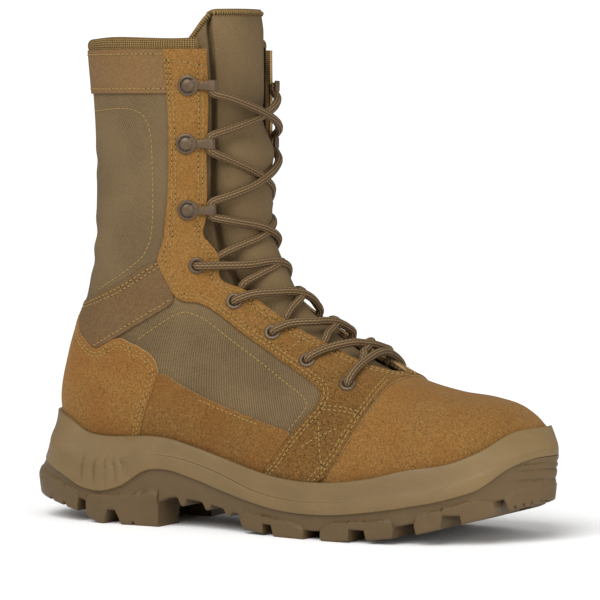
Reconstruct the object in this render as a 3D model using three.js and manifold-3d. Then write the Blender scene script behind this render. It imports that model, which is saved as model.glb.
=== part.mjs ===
// A tactical boot for the right foot, in millimetres: +X to the toe, +Y to the inner side of the foot,
// +Z up. The origin is on the floor, under the middle of the sole.
import * as THREE from "three";
import { mergeVertices } from "three/addons/utils/BufferGeometryUtils.js";
import Module from "manifold-3d";

const wasm = await Module();
wasm.setup();

// Driving sizes
const SOLE_LENGTH = 312;
const BALL_WIDTH = 112;
const COLLAR_HEIGHT = 256;
const INSTEP_RISE = 122; // from the cup's floor to where the throat bends up into the shaft
const HEEL_LIFT = 34; // cup's floor above the ground, under the heel, the ball and the toe
const BALL_LIFT = 20;
const TOE_LIFT = 33;
const SOLE_HEIGHT = 60; // tread to the top of the toe guard
const WALL = 2.4;
const OVERLAY = 1.3;
const GAP = 0.3;

// Sole
const CUP_FLOOR = 3.6; // least midsole under the foot
const RIM_WALL = 2.0;
const BASE_INSET = 2.2; // from the face of the lugs back to the body of the outsole
const TREAD_TAPER = 2.5;
const CHANNEL_WIDTH = 4.5;
const CENTRE_LUG_WIDTH = 26;
const HEEL_RIB_HEIGHT = 0.8;
const HEEL_RIB_WIDTH = 2.2;
const TOE_RIB_WIDTH = 2.0;
const ARCH_RIB_WIDTH = 3.6;
const INSOLE_THICKNESS = 4.5;

// Cuff, collar and tongue
const CUFF_HEIGHT = 24;
const ROLL_HEIGHT = 6;
const ROLL_THICKNESS = 5.4;
const TONGUE_STAND = 20; // how far the tongue stands above the collar
const TONGUE_THICKNESS = 4;
const TONGUE_DEPTH = 5.2; // from the upper's face back to the tongue's face
const TONGUE_PAD = 1.6; // how far the tongue's middle stands out from its wings

// Lacing
const LACE_DIAMETER = 3.6;
const EYELET_BORE = 4.8;
const EYELET_BARREL = 6.0;
const EYELET_FLANGE = 9.2;
const FLANGE_THICKNESS = 0.9;
const HOOK_DIAMETER = 10.2;
const HOOK_WIDTH = 4.2;
const HOOK_PLATE = 1.0;
const HOOK_LACE = 12.0; // from the rivet to the lace, along the arm
const HOOK_LACE_HEIGHT = 1.3;
const RIVET_DIAMETER = 7.0;
const RIVET_HEAD = 0.9;

const SHAFT_RISE = COLLAR_HEIGHT - HEEL_LIFT - INSTEP_RISE;
const HALF_WIDTH = BALL_WIDTH / 2;
const OVERLAY_FACE = GAP + OVERLAY;
const CUP_OUT = OVERLAY_FACE + GAP; // from the upper's face to the inside of the cup behind an overlay
const SEAT = CUP_OUT + 0.15; // and to the underside of a fitting
const RIM_OUT = CUP_OUT + RIM_WALL;
const CORE_OUT = CUP_OUT + 1;
const LACE_RADIUS = LACE_DIAMETER / 2;

// Cup's floor: along is a share of the sole's length from the heel, and the other two say how much
// of the heel's and the toe's lift above the ball's is there.
const FLOOR = table("along heel toe", [
  [0, 1, 0],
  [0.26, 1, 0],
  [0.44, 0.5, 0],
  [0.6, 0.05, 0],
  [0.7, 0, 0],
  [0.82, 0, 0.22],
  [0.92, 0, 0.6],
  [1, 0, 1],
]);

// Sections of the last, from the toe up to the tongue's end. Each lies in a plane between a point at
// the bottom or back and one at the top or front. A rise of 0 is the cup's floor, 1 the instep, 2 the
// collar. Outer, inner and shift are shares of half the ball's width, widest is the share of the way
// at which the section is widest, and the last two say how square its two halves are.
const SECTIONS = table("backAlong backRise frontAlong frontRise outer inner shift widest frontRound backRound", [
  [0.962, 0.055, 0.963, 0.146, 0.07, 0.07, 0.2, 0.35, 2.0, 2.2],
  [0.95, 0, 0.956, 0.215, 0.29, 0.29, 0.18, 0.35, 2.2, 2.4],
  [0.93, 0, 0.938, 0.277, 0.48, 0.46, 0.16, 0.32, 2.3, 2.6],
  [0.9, 0, 0.91, 0.342, 0.64, 0.62, 0.12, 0.28, 2.4, 2.8],
  [0.85, 0, 0.865, 0.396, 0.79, 0.77, 0.09, 0.26, 2.4, 3.0],
  [0.78, 0, 0.8, 0.442, 0.88, 0.86, 0.04, 0.25, 2.3, 3.0],
  [0.7, 0, 0.728, 0.51, 0.89, 0.88, 0, 0.25, 2.15, 3.0],
  [0.61, 0, 0.655, 0.61, 0.86, 0.8, -0.02, 0.25, 2.05, 3.0],
  [0.51, 0, 0.585, 0.713, 0.79, 0.73, -0.02, 0.25, 2.0, 3.0],
  [0.41, 0, 0.527, 0.81, 0.71, 0.68, 0, 0.27, 2.0, 3.0],
  [0.3, 0, 0.487, 0.906, 0.68, 0.66, 0, 0.32, 2.0, 2.8],
  [0.19, 0, 0.463, 0.997, 0.68, 0.68, 0, 0.4, 2.0, 2.6],
  [0.09, 0.018, 0.45, 1.112, 0.68, 0.68, 0, 0.47, 2.1, 2.4],
  [0.055, 0.2, 0.444, 1.234, 0.7, 0.7, 0, 0.5, 2.2, 2.2],
  [0.07, 0.419, 0.442, 1.356, 0.73, 0.73, 0, 0.5, 2.2, 2.1],
  [0.101, 0.637, 0.442, 1.478, 0.75, 0.75, 0, 0.5, 2.3, 2.1],
  [0.122, 0.855, 0.443, 1.611, 0.77, 0.77, 0, 0.5, 2.3, 2.1],
  [0.128, 1.156, 0.444, 1.756, 0.77, 0.77, 0, 0.5, 2.3, 2.1],
  [0.125, 1.578, 0.444, 1.911, 0.77, 0.77, 0, 0.5, 2.3, 2.1],
  [0.114, 2.0, 0.443, 2.067, 0.79, 0.79, 0, 0.5, 2.3, 2.1],
  [0.105, 2.3, 0.442, 2.36, 0.81, 0.81, 0, 0.5, 2.3, 2.1],
]);
const TOE_ROW = 5;
const BALL_ROW = 9;
const HEEL_ROW = 15;
const COLLAR_ROW = 19;
const BOTTOM_DROP = 3; // the sections' bottoms lie this far under the floor, so the wall meets it upright
const DROP_ENDS = 0.055; // rise at which that drop has gone

// Plan outline of the sole, from the heel to the toe: along is a share of its length, and the widths
// are shares of half the ball's width.
const OUTER_OUTLINE = table("along width", [
  [0, 0],
  [0.01, -0.286],
  [0.038, -0.518],
  [0.096, -0.696],
  [0.186, -0.759],
  [0.288, -0.759],
  [0.4, -0.786],
  [0.513, -0.875],
  [0.625, -0.973],
  [0.712, -1],
  [0.795, -0.946],
  [0.872, -0.786],
  [0.936, -0.518],
  [0.978, -0.179],
  [0.997, 0.071],
  [1, 0.196],
]);
const INNER_OUTLINE = table("along width", [
  [0.997, 0.286],
  [0.978, 0.482],
  [0.936, 0.75],
  [0.872, 0.929],
  [0.795, 1],
  [0.721, 0.982],
  [0.625, 0.875],
  [0.513, 0.732],
  [0.4, 0.661],
  [0.288, 0.696],
  [0.186, 0.75],
  [0.096, 0.696],
  [0.038, 0.518],
  [0.01, 0.286],
]);

// Lines of the sole's side, as shares of its height: the tread, the bottom of the grooves between the
// lugs, the seam between outsole and midsole, the step in the midsole's side, and its top edge.
const SIDE_LINES = table("along tread groove seam step rim", [
  [0, 0.23, 0.36, 0.57, 0.75, 0.98],
  [0.05, 0.19, 0.32, 0.53, 0.72, 0.98],
  [0.11, 0.13, 0.27, 0.43, 0.64, 0.91],
  [0.15, 0.08, 0.2, 0.33, 0.54, 0.81],
  [0.185, 0, 0.16, 0.3, 0.51, 0.785],
  [0.23, 0, 0.16, 0.35, 0.56, 0.79],
  [0.285, 0, 0.16, 0.51, 0.65, 0.81],
  [0.32, 0, 0.26, 0.525, 0.65, 0.8],
  [0.375, 0.03, 0.26, 0.465, 0.605, 0.74],
  [0.44, 0.04, 0.2, 0.37, 0.51, 0.65],
  [0.5, 0.03, 0.13, 0.293, 0.405, 0.575],
  [0.545, 0, 0.1, 0.25, 0.36, 0.53],
  [0.6, 0, 0.08, 0.23, 0.338, 0.505],
  [0.66, 0, 0.09, 0.235, 0.345, 0.51],
  [0.73, 0.03, 0.12, 0.275, 0.385, 0.56],
  [0.8, 0.08, 0.18, 0.335, 0.44, 0.65],
  [0.865, 0.16, 0.28, 0.41, 0.52, 0.71],
  [0.91, 0.22, 0.35, 0.5, 0.62, 0.82],
  [0.95, 0.29, 0.4, 0.68, 0.74, 0.98],
  [0.975, 0.33, 0.43, 0.74, 0.79, 1],
  [1, 0.37, 0.46, 0.75, 0.81, 1],
]);

// Rings of the midsole's side: how far in towards the rim each one lies, and at which share of the
// way up from the step to the rim.
const SHOULDERS = table("inward climb", [
  [0.12, 0],
  [0.3, 0.08],
  [0.64, 0.74],
]);

// Lugs, seen from the side: where each begins and ends at the tread and at its top, and the heights of
// its top's two ends, as shares of the sole's length and height.
const LUGS = table("rear front rearTop frontTop rearHeight frontHeight", [
  [-0.03, 0.138, -0.03, 0.144, 0.5, 0.285],
  [0.16, 0.195, 0.157, 0.21, 0.25, 0.14],
  [0.228, 0.304, 0.214, 0.304, 0.14, 0.32],
  [0.165, 0.3, 0.16, 0.304, 0.25, 0.32],
  [0.478, 0.522, 0.468, 0.527, 0.205, 0.19],
  [0.55, 0.605, 0.533, 0.6, 0.19, 0.155],
  [0.641, 0.695, 0.65, 0.69, 0.165, 0.18],
  [0.731, 0.776, 0.74, 0.77, 0.2, 0.225],
  [0.811, 0.856, 0.822, 0.85, 0.265, 0.29],
  [0.888, 0.93, 0.9, 0.926, 0.345, 0.38],
  [0.95, 1.03, 0.94, 1.03, 0.46, 0.53],
]);
const CENTRE_LUGS = table("rear front", [
  [0.18, 0.26],
  [0.49, 0.56],
  [0.59, 0.66],
  [0.69, 0.75],
  [0.78, 0.84],
  [0.87, 0.92],
]);
const ARCH_RIBS = table("along low", [
  [0.352, 0.2],
  [0.402, 0.18],
  [0.446, 0.14],
]);

// Ribs fanned over the side of the heel, and level ones round the toe
const HEEL_RIBS = table("along topAlong low high", [
  [0.15, 0.155, 0.4, 0.6],
  [0.176, 0.178, 0.37, 0.57],
  [0.2, 0.2, 0.355, 0.58],
  [0.226, 0.216, 0.39, 0.58],
  [0.252, 0.232, 0.45, 0.59],
]);
const TOE_RIBS = [0.57, 0.64, 0.7];
const TOE_RIBS_FROM = 0.94;

// Edges of the upper's panels, seen from the side. Each outline below is put together from them.
const THROAT = table("along rise", [
  [0.391, 2.6],
  [0.391, 1.41],
  [0.385, 1.15],
  [0.376, 1.05],
  [0.392, 1.0],
  [0.403, 0.95],
  [0.401, 0.88],
  [0.41, 0.845],
  [0.445, 0.83],
  [0.481, 0.77],
  [0.529, 0.71],
  [0.583, 0.66],
  [0.657, 0.58],
  [0.699, 0.54],
  [0.728, 0.515],
]);
const FACING_FRONT = table("along rise", [
  [0.72, 0.5],
  [0.716, 0.43],
  [0.703, 0.34],
  [0.67, 0.18],
  [0.62, 0.05],
  [0.59, -0.1],
]);
const FACING_FOOT = table("along rise", [
  [0.48, -0.1],
  [0.522, 0.09],
  [0.58, 0.275],
  [0.62, 0.4],
]);
const QUARTER_TOP = table("along rise", [
  [0.622, 0.46],
  [0.564, 0.53],
  [0.51, 0.58],
  [0.455, 0.64],
  [0.407, 0.71],
  [0.378, 0.745],
]);
const STRAP_FRONT = table("along rise", [
  [0.335, 0.735],
  [0.308, 0.86],
  [0.302, 0.91],
]);
const FACING_REAR = table("along rise", [
  [0.32, 1.02],
  [0.32, 2.6],
]);
const STRAP_TOP = table("along rise", [
  [0.24, 0.8],
  [0.173, 0.72],
  [0.125, 0.69],
]);
const STRAP_REAR = table("along rise", [
  [0.119, 0.64],
  [0.128, 0.57],
  [0.154, 0.52],
  [0.173, 0.48],
]);
const STRAP_LOW = table("along rise", [
  [0.224, 0.55],
  [0.282, 0.64],
]);
const COUNTER_TOP = table("along rise", [
  [-0.05, 0.75],
  [0.13, 0.74],
]);
const COUNTER_FRONT = table("along rise", [
  [0.266, 0.51],
  [0.292, 0.48],
  [0.304, 0.42],
]);
const COUNTER_FOOT = table("along rise", [
  [0.298, 0.36],
  [0.282, 0.26],
  [0.263, 0.14],
  [0.235, -0.1],
]);
const MUDGUARD_TOP = table("along rise", [
  [0.385, 0.345],
  [0.446, 0.315],
  [0.513, 0.295],
]);

// Centres of the eyelets and of the hooks' rivets, from the toe up. Float is how far, in millimetres, the
// laces that cross above an eyelet stand off the tongue.
const EYELETS = table("along rise float", [
  [0.66, 0.49, 3.6],
  [0.58, 0.575, 1.4],
  [0.506, 0.665, 0.3],
  [0.432, 0.77, 0],
  [0.368, 0.905, 0],
]);
const HOOKS = table("along rise", [
  [0.359, 1.18],
  [0.362, 1.53],
  [0.365, 1.84],
]);

// Tongue, from under the vamp to the collar: the section that it lies in, counted from 0 at the toe, half
// its sweep in radians, and how deep it lies, from just under the wall, 0, to its own depth, 1.
const TONGUE_ROWS = table("section sweep depth", [
  [5.9, 0.45, 0.12],
  [6.3, 0.75, 0.3],
  [7, 0.95, 0.85],
  [8, 1.05, 1],
  [9.2, 1.12, 1],
  [10.4, 1.16, 1],
  [11.6, 1.2, 1],
  [13, 1.26, 1],
  [15, 1.32, 1],
  [17, 1.36, 1],
  [19, 1.38, 1],
]);
const TONGUE_ARC = [-1, -0.7, -0.5, -0.25, 0, 0.25, 0.5, 0.7, 1];
const PAD_SHARE = 0.5; // share of the sweep that the raised middle takes

// Section of the collar's padded edge, as shares of its thickness and height
const ROLL_PROFILE = table("out up", [
  [0.12, 0],
  [0.17, 0.4],
  [0.02, 0.82],
  [-0.35, 1],
  [-0.7, 0.82],
  [-0.86, 0.4],
  [-0.8, 0],
]);

// Steps of the faceted surfaces
const TURNS = 20;
const LONGEST_STEP = 36;
const OUTLINE_POINTS = 44;
const DENSE = 240;
const FLOOR_STEPS = 14;
const ROLL_STEPS = 18;
const HOLE_SIDES = 6;
const EYELET_SIDES = 6;
const DISC_SIDES = 8;
const LACE_SIDES = 5;
const TINY = 0.004;
const FAR = 400;

// A table's rows as objects, under the names of its columns.
function table(columns, rows) {
  const names = columns.split(" ");
  return rows.map((row) => Object.fromEntries(names.map((name, i) => [name, row[i]])));
}

function mix(a, b, share) {
  return a + (b - a) * share;
}

function clamp(value, low, high) {
  return Math.min(Math.max(value, low), high);
}

// A smooth curve through rows of numbers, each at its knot.
function curveThrough(rows, knots) {
  const keys = Object.keys(rows[0]);
  const last = rows.length - 1;
  const rate = (i, key) => (rows[i + 1][key] - rows[i][key]) / (knots[i + 1] - knots[i]);
  const slopeAt = (i, key) => {
    if (i === 0) return rate(0, key);
    if (i === last) return rate(last - 1, key);
    const share = (knots[i] - knots[i - 1]) / (knots[i + 1] - knots[i - 1]);
    return mix(rate(i - 1, key), rate(i, key), share);
  };
  return (at) => {
    let i = 0;
    while (i < last - 1 && at >= knots[i + 1]) i += 1;
    const step = knots[i + 1] - knots[i];
    const u = (at - knots[i]) / step;
    const point = {};
    for (const key of keys) {
      point[key] =
        (1 + 2 * u) * (1 - u) ** 2 * rows[i][key] +
        u * (1 - u) ** 2 * step * slopeAt(i, key) +
        u * u * (3 - 2 * u) * rows[i + 1][key] +
        u * u * (u - 1) * step * slopeAt(i + 1, key);
    }
    return point;
  };
}

// The value between low and high at which a rising measure passes zero.
function solve(low, high, measure) {
  let a = low;
  let b = high;
  for (let i = 0; i < 40; i += 1) {
    const middle = (a + b) / 2;
    if (measure(middle) < 0) a = middle;
    else b = middle;
  }
  return (a + b) / 2;
}

// Places along the sole and up the last
function xOf(along) {
  return (along - 0.5) * SOLE_LENGTH;
}
function alongOf(x) {
  return x / SOLE_LENGTH + 0.5;
}
const floorShares = curveThrough(FLOOR, FLOOR.map((row) => row.along));
function floorHeight(along) {
  const row = floorShares(clamp(along, 0, 1));
  return BALL_LIFT + row.heel * (HEEL_LIFT - BALL_LIFT) + row.toe * (TOE_LIFT - BALL_LIFT);
}
function heightOf(along, rise) {
  const climb = rise <= 1 ? rise * INSTEP_RISE : INSTEP_RISE + (rise - 1) * SHAFT_RISE;
  return floorHeight(along) + climb;
}
const sideLines = curveThrough(SIDE_LINES, SIDE_LINES.map((row) => row.along));
function sideHeight(along, line) {
  return sideLines(clamp(along, 0, 1))[line] * SOLE_HEIGHT;
}
function sidePoint({ along, rise }) {
  return new THREE.Vector2(xOf(along), heightOf(along, rise));
}

// Stations of the sections: 0 at the toe and 1 at the collar, spaced by the way between their middles.
function sectionEnds(row) {
  const drop = BOTTOM_DROP * clamp(1 - row.backRise / DROP_ENDS, 0, 1);
  const back = sidePoint({ along: row.backAlong, rise: row.backRise });
  const front = sidePoint({ along: row.frontAlong, rise: row.frontRise });
  back.y -= drop;
  return { back, front };
}
function sectionStations() {
  const ways = [0];
  for (let i = 1; i < SECTIONS.length; i += 1) {
    const from = sectionEnds(SECTIONS[i - 1]);
    const to = sectionEnds(SECTIONS[i]);
    const step = to.back.clone().add(to.front).sub(from.back).sub(from.front).length() / 2;
    ways.push(ways[i - 1] + step);
  }
  return ways.map((way) => way / ways[COLLAR_ROW]);
}
const STATIONS = sectionStations();
const LAST_STATION = STATIONS[STATIONS.length - 1];
const sectionAt = curveThrough(SECTIONS, STATIONS);

// A point of the last's surface. A turn of 0 is the bottom or back and pi either way the top or
// front; turns below 0 are on the outer side of the foot.
function facePoint(station, turn) {
  const row = sectionAt(station);
  const { back, front } = sectionEnds(row);
  const wrapped = Math.abs(turn) > Math.PI ? turn - 2 * Math.PI * Math.sign(turn) : turn;
  const around = Math.abs(wrapped);
  const inFront = around > Math.PI / 2;
  const tilt = Math.abs(around - Math.PI / 2);
  const power = 2 / (inFront ? row.frontRound : row.backRound);
  const wide = Math.max(Math.cos(tilt), 0) ** power;
  const deep = Math.sin(tilt) ** power;
  const share = mix(row.widest, inFront ? 1 : 0, deep);
  const halfWidth = (wrapped < 0 ? row.outer : row.inner) * HALF_WIDTH;
  const y = row.shift * HALF_WIDTH + Math.sign(wrapped) * halfWidth * wide;
  return new THREE.Vector3(mix(back.x, front.x, share), y, mix(back.y, front.y, share));
}

function faceNormal(station, turn) {
  const along = facePoint(station + TINY, turn).sub(facePoint(station - TINY, turn));
  const around = facePoint(station, turn + 5 * TINY).sub(facePoint(station, turn - 5 * TINY));
  const normal = along.cross(around).normalize();
  const middle = facePoint(station, 0).add(facePoint(station, Math.PI)).multiplyScalar(0.5);
  const outward = facePoint(station, turn).sub(middle);
  return normal.dot(outward) < 0 ? normal.negate() : normal;
}

// A point off the last's surface, further out where the offset is above 0.
function offsetPoint(station, turn, offset) {
  return facePoint(station, turn).addScaledVector(faceNormal(station, turn), offset);
}

// The station and turn of the surface's point with this place in the side view.
function locate({ along, rise }, side) {
  const target = sidePoint({ along, rise });
  const fromBack = (station) => {
    const { back, front } = sectionEnds(sectionAt(station));
    return { way: front.sub(back), reach: target.clone().sub(back) };
  };
  const station = solve(0, LAST_STATION, (at) => {
    const { way, reach } = fromBack(at);
    return reach.cross(way);
  });
  const row = sectionAt(station);
  const { way, reach } = fromBack(station);
  const share = reach.dot(way) / way.lengthSq();
  const inFront = share > row.widest;
  const deep = (share - row.widest) / (inFront ? 1 - row.widest : -row.widest);
  const tilt = Math.asin(Math.min(deep ** ((inFront ? row.frontRound : row.backRound) / 2), 1));
  return { station, turn: side * (Math.PI / 2 + (inFront ? tilt : -tilt)) };
}

// A solid from a closed geometry.
function solid(geometry) {
  geometry.deleteAttribute("normal");
  geometry.deleteAttribute("uv");
  const merged = mergeVertices(geometry, 1e-4);
  return new wasm.Manifold(
    new wasm.Mesh({
      numProp: 3,
      vertProperties: merged.attributes.position.array,
      triVerts: new Uint32Array(merged.index.array),
    }),
  );
}

function union(solids) {
  return solids.reduce((all, one) => all.add(one));
}

// A closed solid through rings of as many points each. Its two ends are closed across the rings.
function loft(rings) {
  const count = rings[0].length;
  const faces = [];
  for (let r = 0; r + 1 < rings.length; r += 1) {
    for (let i = 0; i < count; i += 1) {
      const a = r * count + i;
      const b = r * count + ((i + 1) % count);
      faces.push([a, b, b + count], [a, b + count, a + count]);
    }
  }
  const lastRing = (rings.length - 1) * count;
  for (let i = 0; i < count / 2 - 1; i += 1) {
    const j = count - 1 - i;
    const corners = i + 1 === j - 1 ? [[i, i + 1, j]] : [[i, i + 1, j - 1], [i, j - 1, j]];
    for (const [a, b, c] of corners) {
      faces.push([a, c, b], [lastRing + a, lastRing + b, lastRing + c]);
    }
  }
  const build = (triangles) => {
    return solid(new THREE.BufferGeometry().setFromPoints(rings.flat()).setIndex(triangles.flat()));
  };
  const made = build(faces);
  return made.volume() > 0 ? made : build(faces.map(([a, b, c]) => [a, c, b]));
}

// A solid with this outline in the side view, from one y to another.
function prism(outline, fromY = -FAR, toY = FAR) {
  const shape = new THREE.Shape(outline);
  const geometry = new THREE.ExtrudeGeometry(shape, { depth: toY - fromY, bevelEnabled: false });
  geometry.rotateX(Math.PI / 2);
  geometry.translate(0, toY, 0);
  return solid(geometry);
}

function slab(fromX, toX, fromZ, toZ) {
  const corners = [[fromX, fromZ], [toX, fromZ], [toX, toZ], [fromX, toZ]];
  return prism(corners.map(([x, z]) => new THREE.Vector2(x, z)));
}

// An outline drawn in by a distance all round.
function inset(outline, distance) {
  const ring = THREE.ShapeUtils.area(outline) < 0 ? outline.slice().reverse() : outline;
  const count = ring.length;
  return ring.map((point, i) => {
    const before = point.clone().sub(ring[(i + count - 1) % count]).normalize();
    const after = ring[(i + 1) % count].clone().sub(point).normalize();
    const left = new THREE.Vector2(-before.y - after.y, before.x + after.x).normalize();
    const stretch = Math.max(left.y * before.x - left.x * before.y, 0.35);
    return point.clone().addScaledVector(left, distance / stretch);
  });
}

// The last's form, drawn out or in by an offset.
function ringStations() {
  const stations = [0];
  for (let i = 1; i < SECTIONS.length; i += 1) {
    const from = sectionEnds(SECTIONS[i - 1]);
    const to = sectionEnds(SECTIONS[i]);
    const way = Math.max(from.back.distanceTo(to.back), from.front.distanceTo(to.front));
    const steps = Math.ceil(way / LONGEST_STEP);
    for (let k = 1; k <= steps; k += 1) stations.push(mix(STATIONS[i - 1], STATIONS[i], k / steps));
  }
  return stations;
}
const FORM_STATIONS = ringStations();
function form(offset) {
  const turns = Array.from({ length: TURNS }, (_, i) => -Math.PI + (2 * Math.PI * i) / TURNS);
  return loft(FORM_STATIONS.map((station) => turns.map((turn) => offsetPoint(station, turn, offset))));
}

// Points spread evenly along a polyline.
function spread(points, count) {
  const ways = [0];
  for (let i = 1; i < points.length; i += 1) ways.push(ways[i - 1] + points[i].distanceTo(points[i - 1]));
  const total = ways[ways.length - 1];
  let k = 0;
  return Array.from({ length: count + 1 }, (_, i) => {
    const way = (total * i) / count;
    while (k < points.length - 2 && ways[k + 1] < way) k += 1;
    return points[k].clone().lerp(points[k + 1], (way - ways[k]) / (ways[k + 1] - ways[k]));
  });
}

// The sole's plan outline as a ring, from the heel along the outer side to the toe and back.
function outlineRing() {
  const loop = [...OUTER_OUTLINE, ...INNER_OUTLINE];
  const rows = [loop[loop.length - 1], ...loop, loop[0], loop[1]];
  const points = rows.map(({ along, width }) => new THREE.Vector3(xOf(along), width * HALF_WIDTH, 0));
  const knots = [0];
  for (let i = 1; i < points.length; i += 1) knots.push(knots[i - 1] + points[i].distanceTo(points[i - 1]));
  const line = curveThrough(points.map(({ x, y }) => ({ x, y })), knots);
  const half = (from, to) => {
    const dense = Array.from({ length: DENSE + 1 }, (_, i) => {
      const { x, y } = line(mix(knots[from], knots[to], i / DENSE));
      return new THREE.Vector3(x, y, 0);
    });
    return spread(dense, OUTLINE_POINTS / 2).slice(0, -1);
  };
  const toe = OUTER_OUTLINE.length;
  return [...half(1, toe), ...half(toe, loop.length + 1)];
}
const soleRing = outlineRing();

function insetRing(distance) {
  const flat = inset(soleRing.map(({ x, y }) => new THREE.Vector2(x, y)), distance);
  return flat.map(({ x, y }) => new THREE.Vector3(x, y, 0));
}
function atHeight(ring, heightAt) {
  return ring.map((point, i) => point.clone().setZ(heightAt(alongOf(soleRing[i].x))));
}

// The midsole's top edge, where the last drawn out by the rim crosses the rim's line.
function rimHalf(side) {
  const above = (station, turn) => {
    const point = offsetPoint(station, turn, RIM_OUT);
    return point.z - sideHeight(alongOf(point.x), "rim");
  };
  const toe = solve(0, STATIONS[TOE_ROW], (station) => above(station, Math.PI));
  const heel = solve(STATIONS[BALL_ROW], STATIONS[HEEL_ROW], (station) => above(station, 0));
  const points = [offsetPoint(heel, 0, RIM_OUT)];
  const steps = DENSE / 4;
  for (let i = 1; i < steps; i += 1) {
    const station = mix(heel, toe, (1 - Math.cos((Math.PI * i) / steps)) / 2);
    const turn = solve(0, Math.PI, (angle) => above(station, side * angle));
    points.push(offsetPoint(station, side * turn, RIM_OUT));
  }
  points.push(offsetPoint(toe, Math.PI, RIM_OUT));
  return spread(points, OUTLINE_POINTS / 2);
}
const rimRing = [...rimHalf(-1), ...rimHalf(1).slice(1, -1).reverse()];

function midsoleMass(outset) {
  const outline = insetRing(-outset);
  const rings = [atHeight(outline, (along) => sideHeight(along, "seam"))];
  for (const { inward, climb } of SHOULDERS) {
    const ring = outline.map((point, i) => {
      const rim = rimRing[i];
      const step = sideHeight(alongOf(soleRing[i].x), "step");
      return new THREE.Vector3(mix(point.x, rim.x, inward), mix(point.y, rim.y, inward), mix(step, rim.z, climb));
    });
    rings.push(ring);
  }
  rings.push(rimRing);
  return loft(rings);
}

// Everything over a line that runs with the cup's floor, up to a height.
function overFloor(drop, top) {
  const line = Array.from({ length: FLOOR_STEPS + 1 }, (_, i) => {
    const along = mix(-0.05, 1.05, i / FLOOR_STEPS);
    return new THREE.Vector2(xOf(along), floorHeight(along) - drop);
  });
  const ends = [new THREE.Vector2(line[FLOOR_STEPS].x, top), new THREE.Vector2(line[0].x, top)];
  return prism([...line, ...ends]);
}

// The part of the midsole that runs under the foot where the outsole's edge stands higher.
function coreBand(clearance) {
  const points = (heightAt) =>
    Array.from({ length: FLOOR_STEPS + 1 }, (_, i) => {
      const along = mix(-0.02, 1.02, i / FLOOR_STEPS);
      return new THREE.Vector2(xOf(along), heightAt(along, sideHeight(along, "seam")));
    });
  const low = points((along, seam) => Math.min(floorHeight(along) - CUP_FLOOR, seam) - clearance);
  const high = points((along, seam) => Math.max(floorHeight(along), seam + 2) + clearance);
  return prism([...low, ...high.reverse()]);
}

// Everything behind the facing's front edge, where the upper has its second layer.
function behindFacing(clearance) {
  const edge = FACING_FRONT.map(sidePoint).map((point) => point.setX(point.x + clearance));
  const rear = xOf(-0.2);
  const corners = [new THREE.Vector2(rear, edge[edge.length - 1].y), new THREE.Vector2(rear, edge[0].y)];
  return prism([...edge, ...corners]);
}

function heelRibs() {
  const bars = HEEL_RIBS.map(({ along, topAlong, low, high }) => {
    const half = HEEL_RIB_WIDTH / 2;
    const corners = [[along, low, -half], [along, low, half], [topAlong, high, half], [topAlong, high, -half]];
    return prism(corners.map(([at, height, shift]) => new THREE.Vector2(xOf(at) + shift, height * SOLE_HEIGHT)));
  });
  return midsoleMass(HEEL_RIB_HEIGHT).intersect(union(bars));
}

function makeMidsole() {
  const cup = form(GAP)
    .add(form(CUP_OUT).intersect(behindFacing(GAP)))
    .intersect(overFloor(GAP, COLLAR_HEIGHT + SHAFT_RISE));
  const core = form(CORE_OUT).intersect(coreBand(0));
  return midsoleMass(0).add(heelRibs()).add(core).subtract(cup);
}

// The outsole's body and the mass that its lugs are cut from, both under the seam.
function outsoleMasses() {
  const lowRing = (distance, line) => {
    return atHeight(insetRing(distance), (along) => Math.max(sideHeight(along, line), 0));
  };
  const seam = (lift) => (along) => sideHeight(along, "seam") + lift;
  const lugged = loft([lowRing(TREAD_TAPER, "tread"), atHeight(soleRing, seam(-GAP))]);
  const body = loft([lowRing(BASE_INSET, "groove"), atHeight(insetRing(BASE_INSET / 2), seam(BASE_INSET))]);
  return { lugged, body: body.intersect(loft([lowRing(0, "tread"), atHeight(soleRing, seam(-GAP))])) };
}

function lugBlocks() {
  const outlineOf = ({ rear, front, rearTop, frontTop, rearHeight, frontHeight }) => {
    const corners = [[rear, -0.1], [front, -0.1], [frontTop, frontHeight], [rearTop, rearHeight]];
    return corners.map(([along, height]) => new THREE.Vector2(xOf(along), height * SOLE_HEIGHT));
  };
  const channelEdge = CENTRE_LUG_WIDTH / 2 + CHANNEL_WIDTH;
  const sides = LUGS.flatMap((lug, i) => {
    const outline = outlineOf(lug);
    const whole = i === 0 || i === LUGS.length - 1;
    return whole ? [prism(outline)] : [prism(outline, -FAR, -channelEdge), prism(outline, channelEdge, FAR)];
  });
  const centre = CENTRE_LUGS.map(({ rear, front }) => {
    const top = sideHeight((rear + front) / 2, "groove") / SOLE_HEIGHT + 0.05;
    const outline = outlineOf({ rear, front, rearTop: rear, frontTop: front, rearHeight: top, frontHeight: top });
    return prism(outline, -CENTRE_LUG_WIDTH / 2, CENTRE_LUG_WIDTH / 2);
  });
  return [...sides, ...centre];
}

function outsoleRibs() {
  const round = TOE_RIBS.map((share) => {
    const middle = share * SOLE_HEIGHT;
    return slab(xOf(TOE_RIBS_FROM), xOf(1.05), middle - TOE_RIB_WIDTH / 2, middle + TOE_RIB_WIDTH / 2);
  });
  const under = ARCH_RIBS.map(({ along, low }) => {
    const half = ARCH_RIB_WIDTH / 2;
    return slab(xOf(along) - half, xOf(along) + half, low * SOLE_HEIGHT, sideHeight(along, "groove") + 1);
  });
  return [...round, ...under];
}

function makeOutsole() {
  const { lugged, body } = outsoleMasses();
  const raised = lugged.intersect(union([...lugBlocks(), ...outsoleRibs()]));
  const core = form(CORE_OUT + GAP).intersect(coreBand(GAP));
  return body.add(raised).subtract(core);
}

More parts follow.
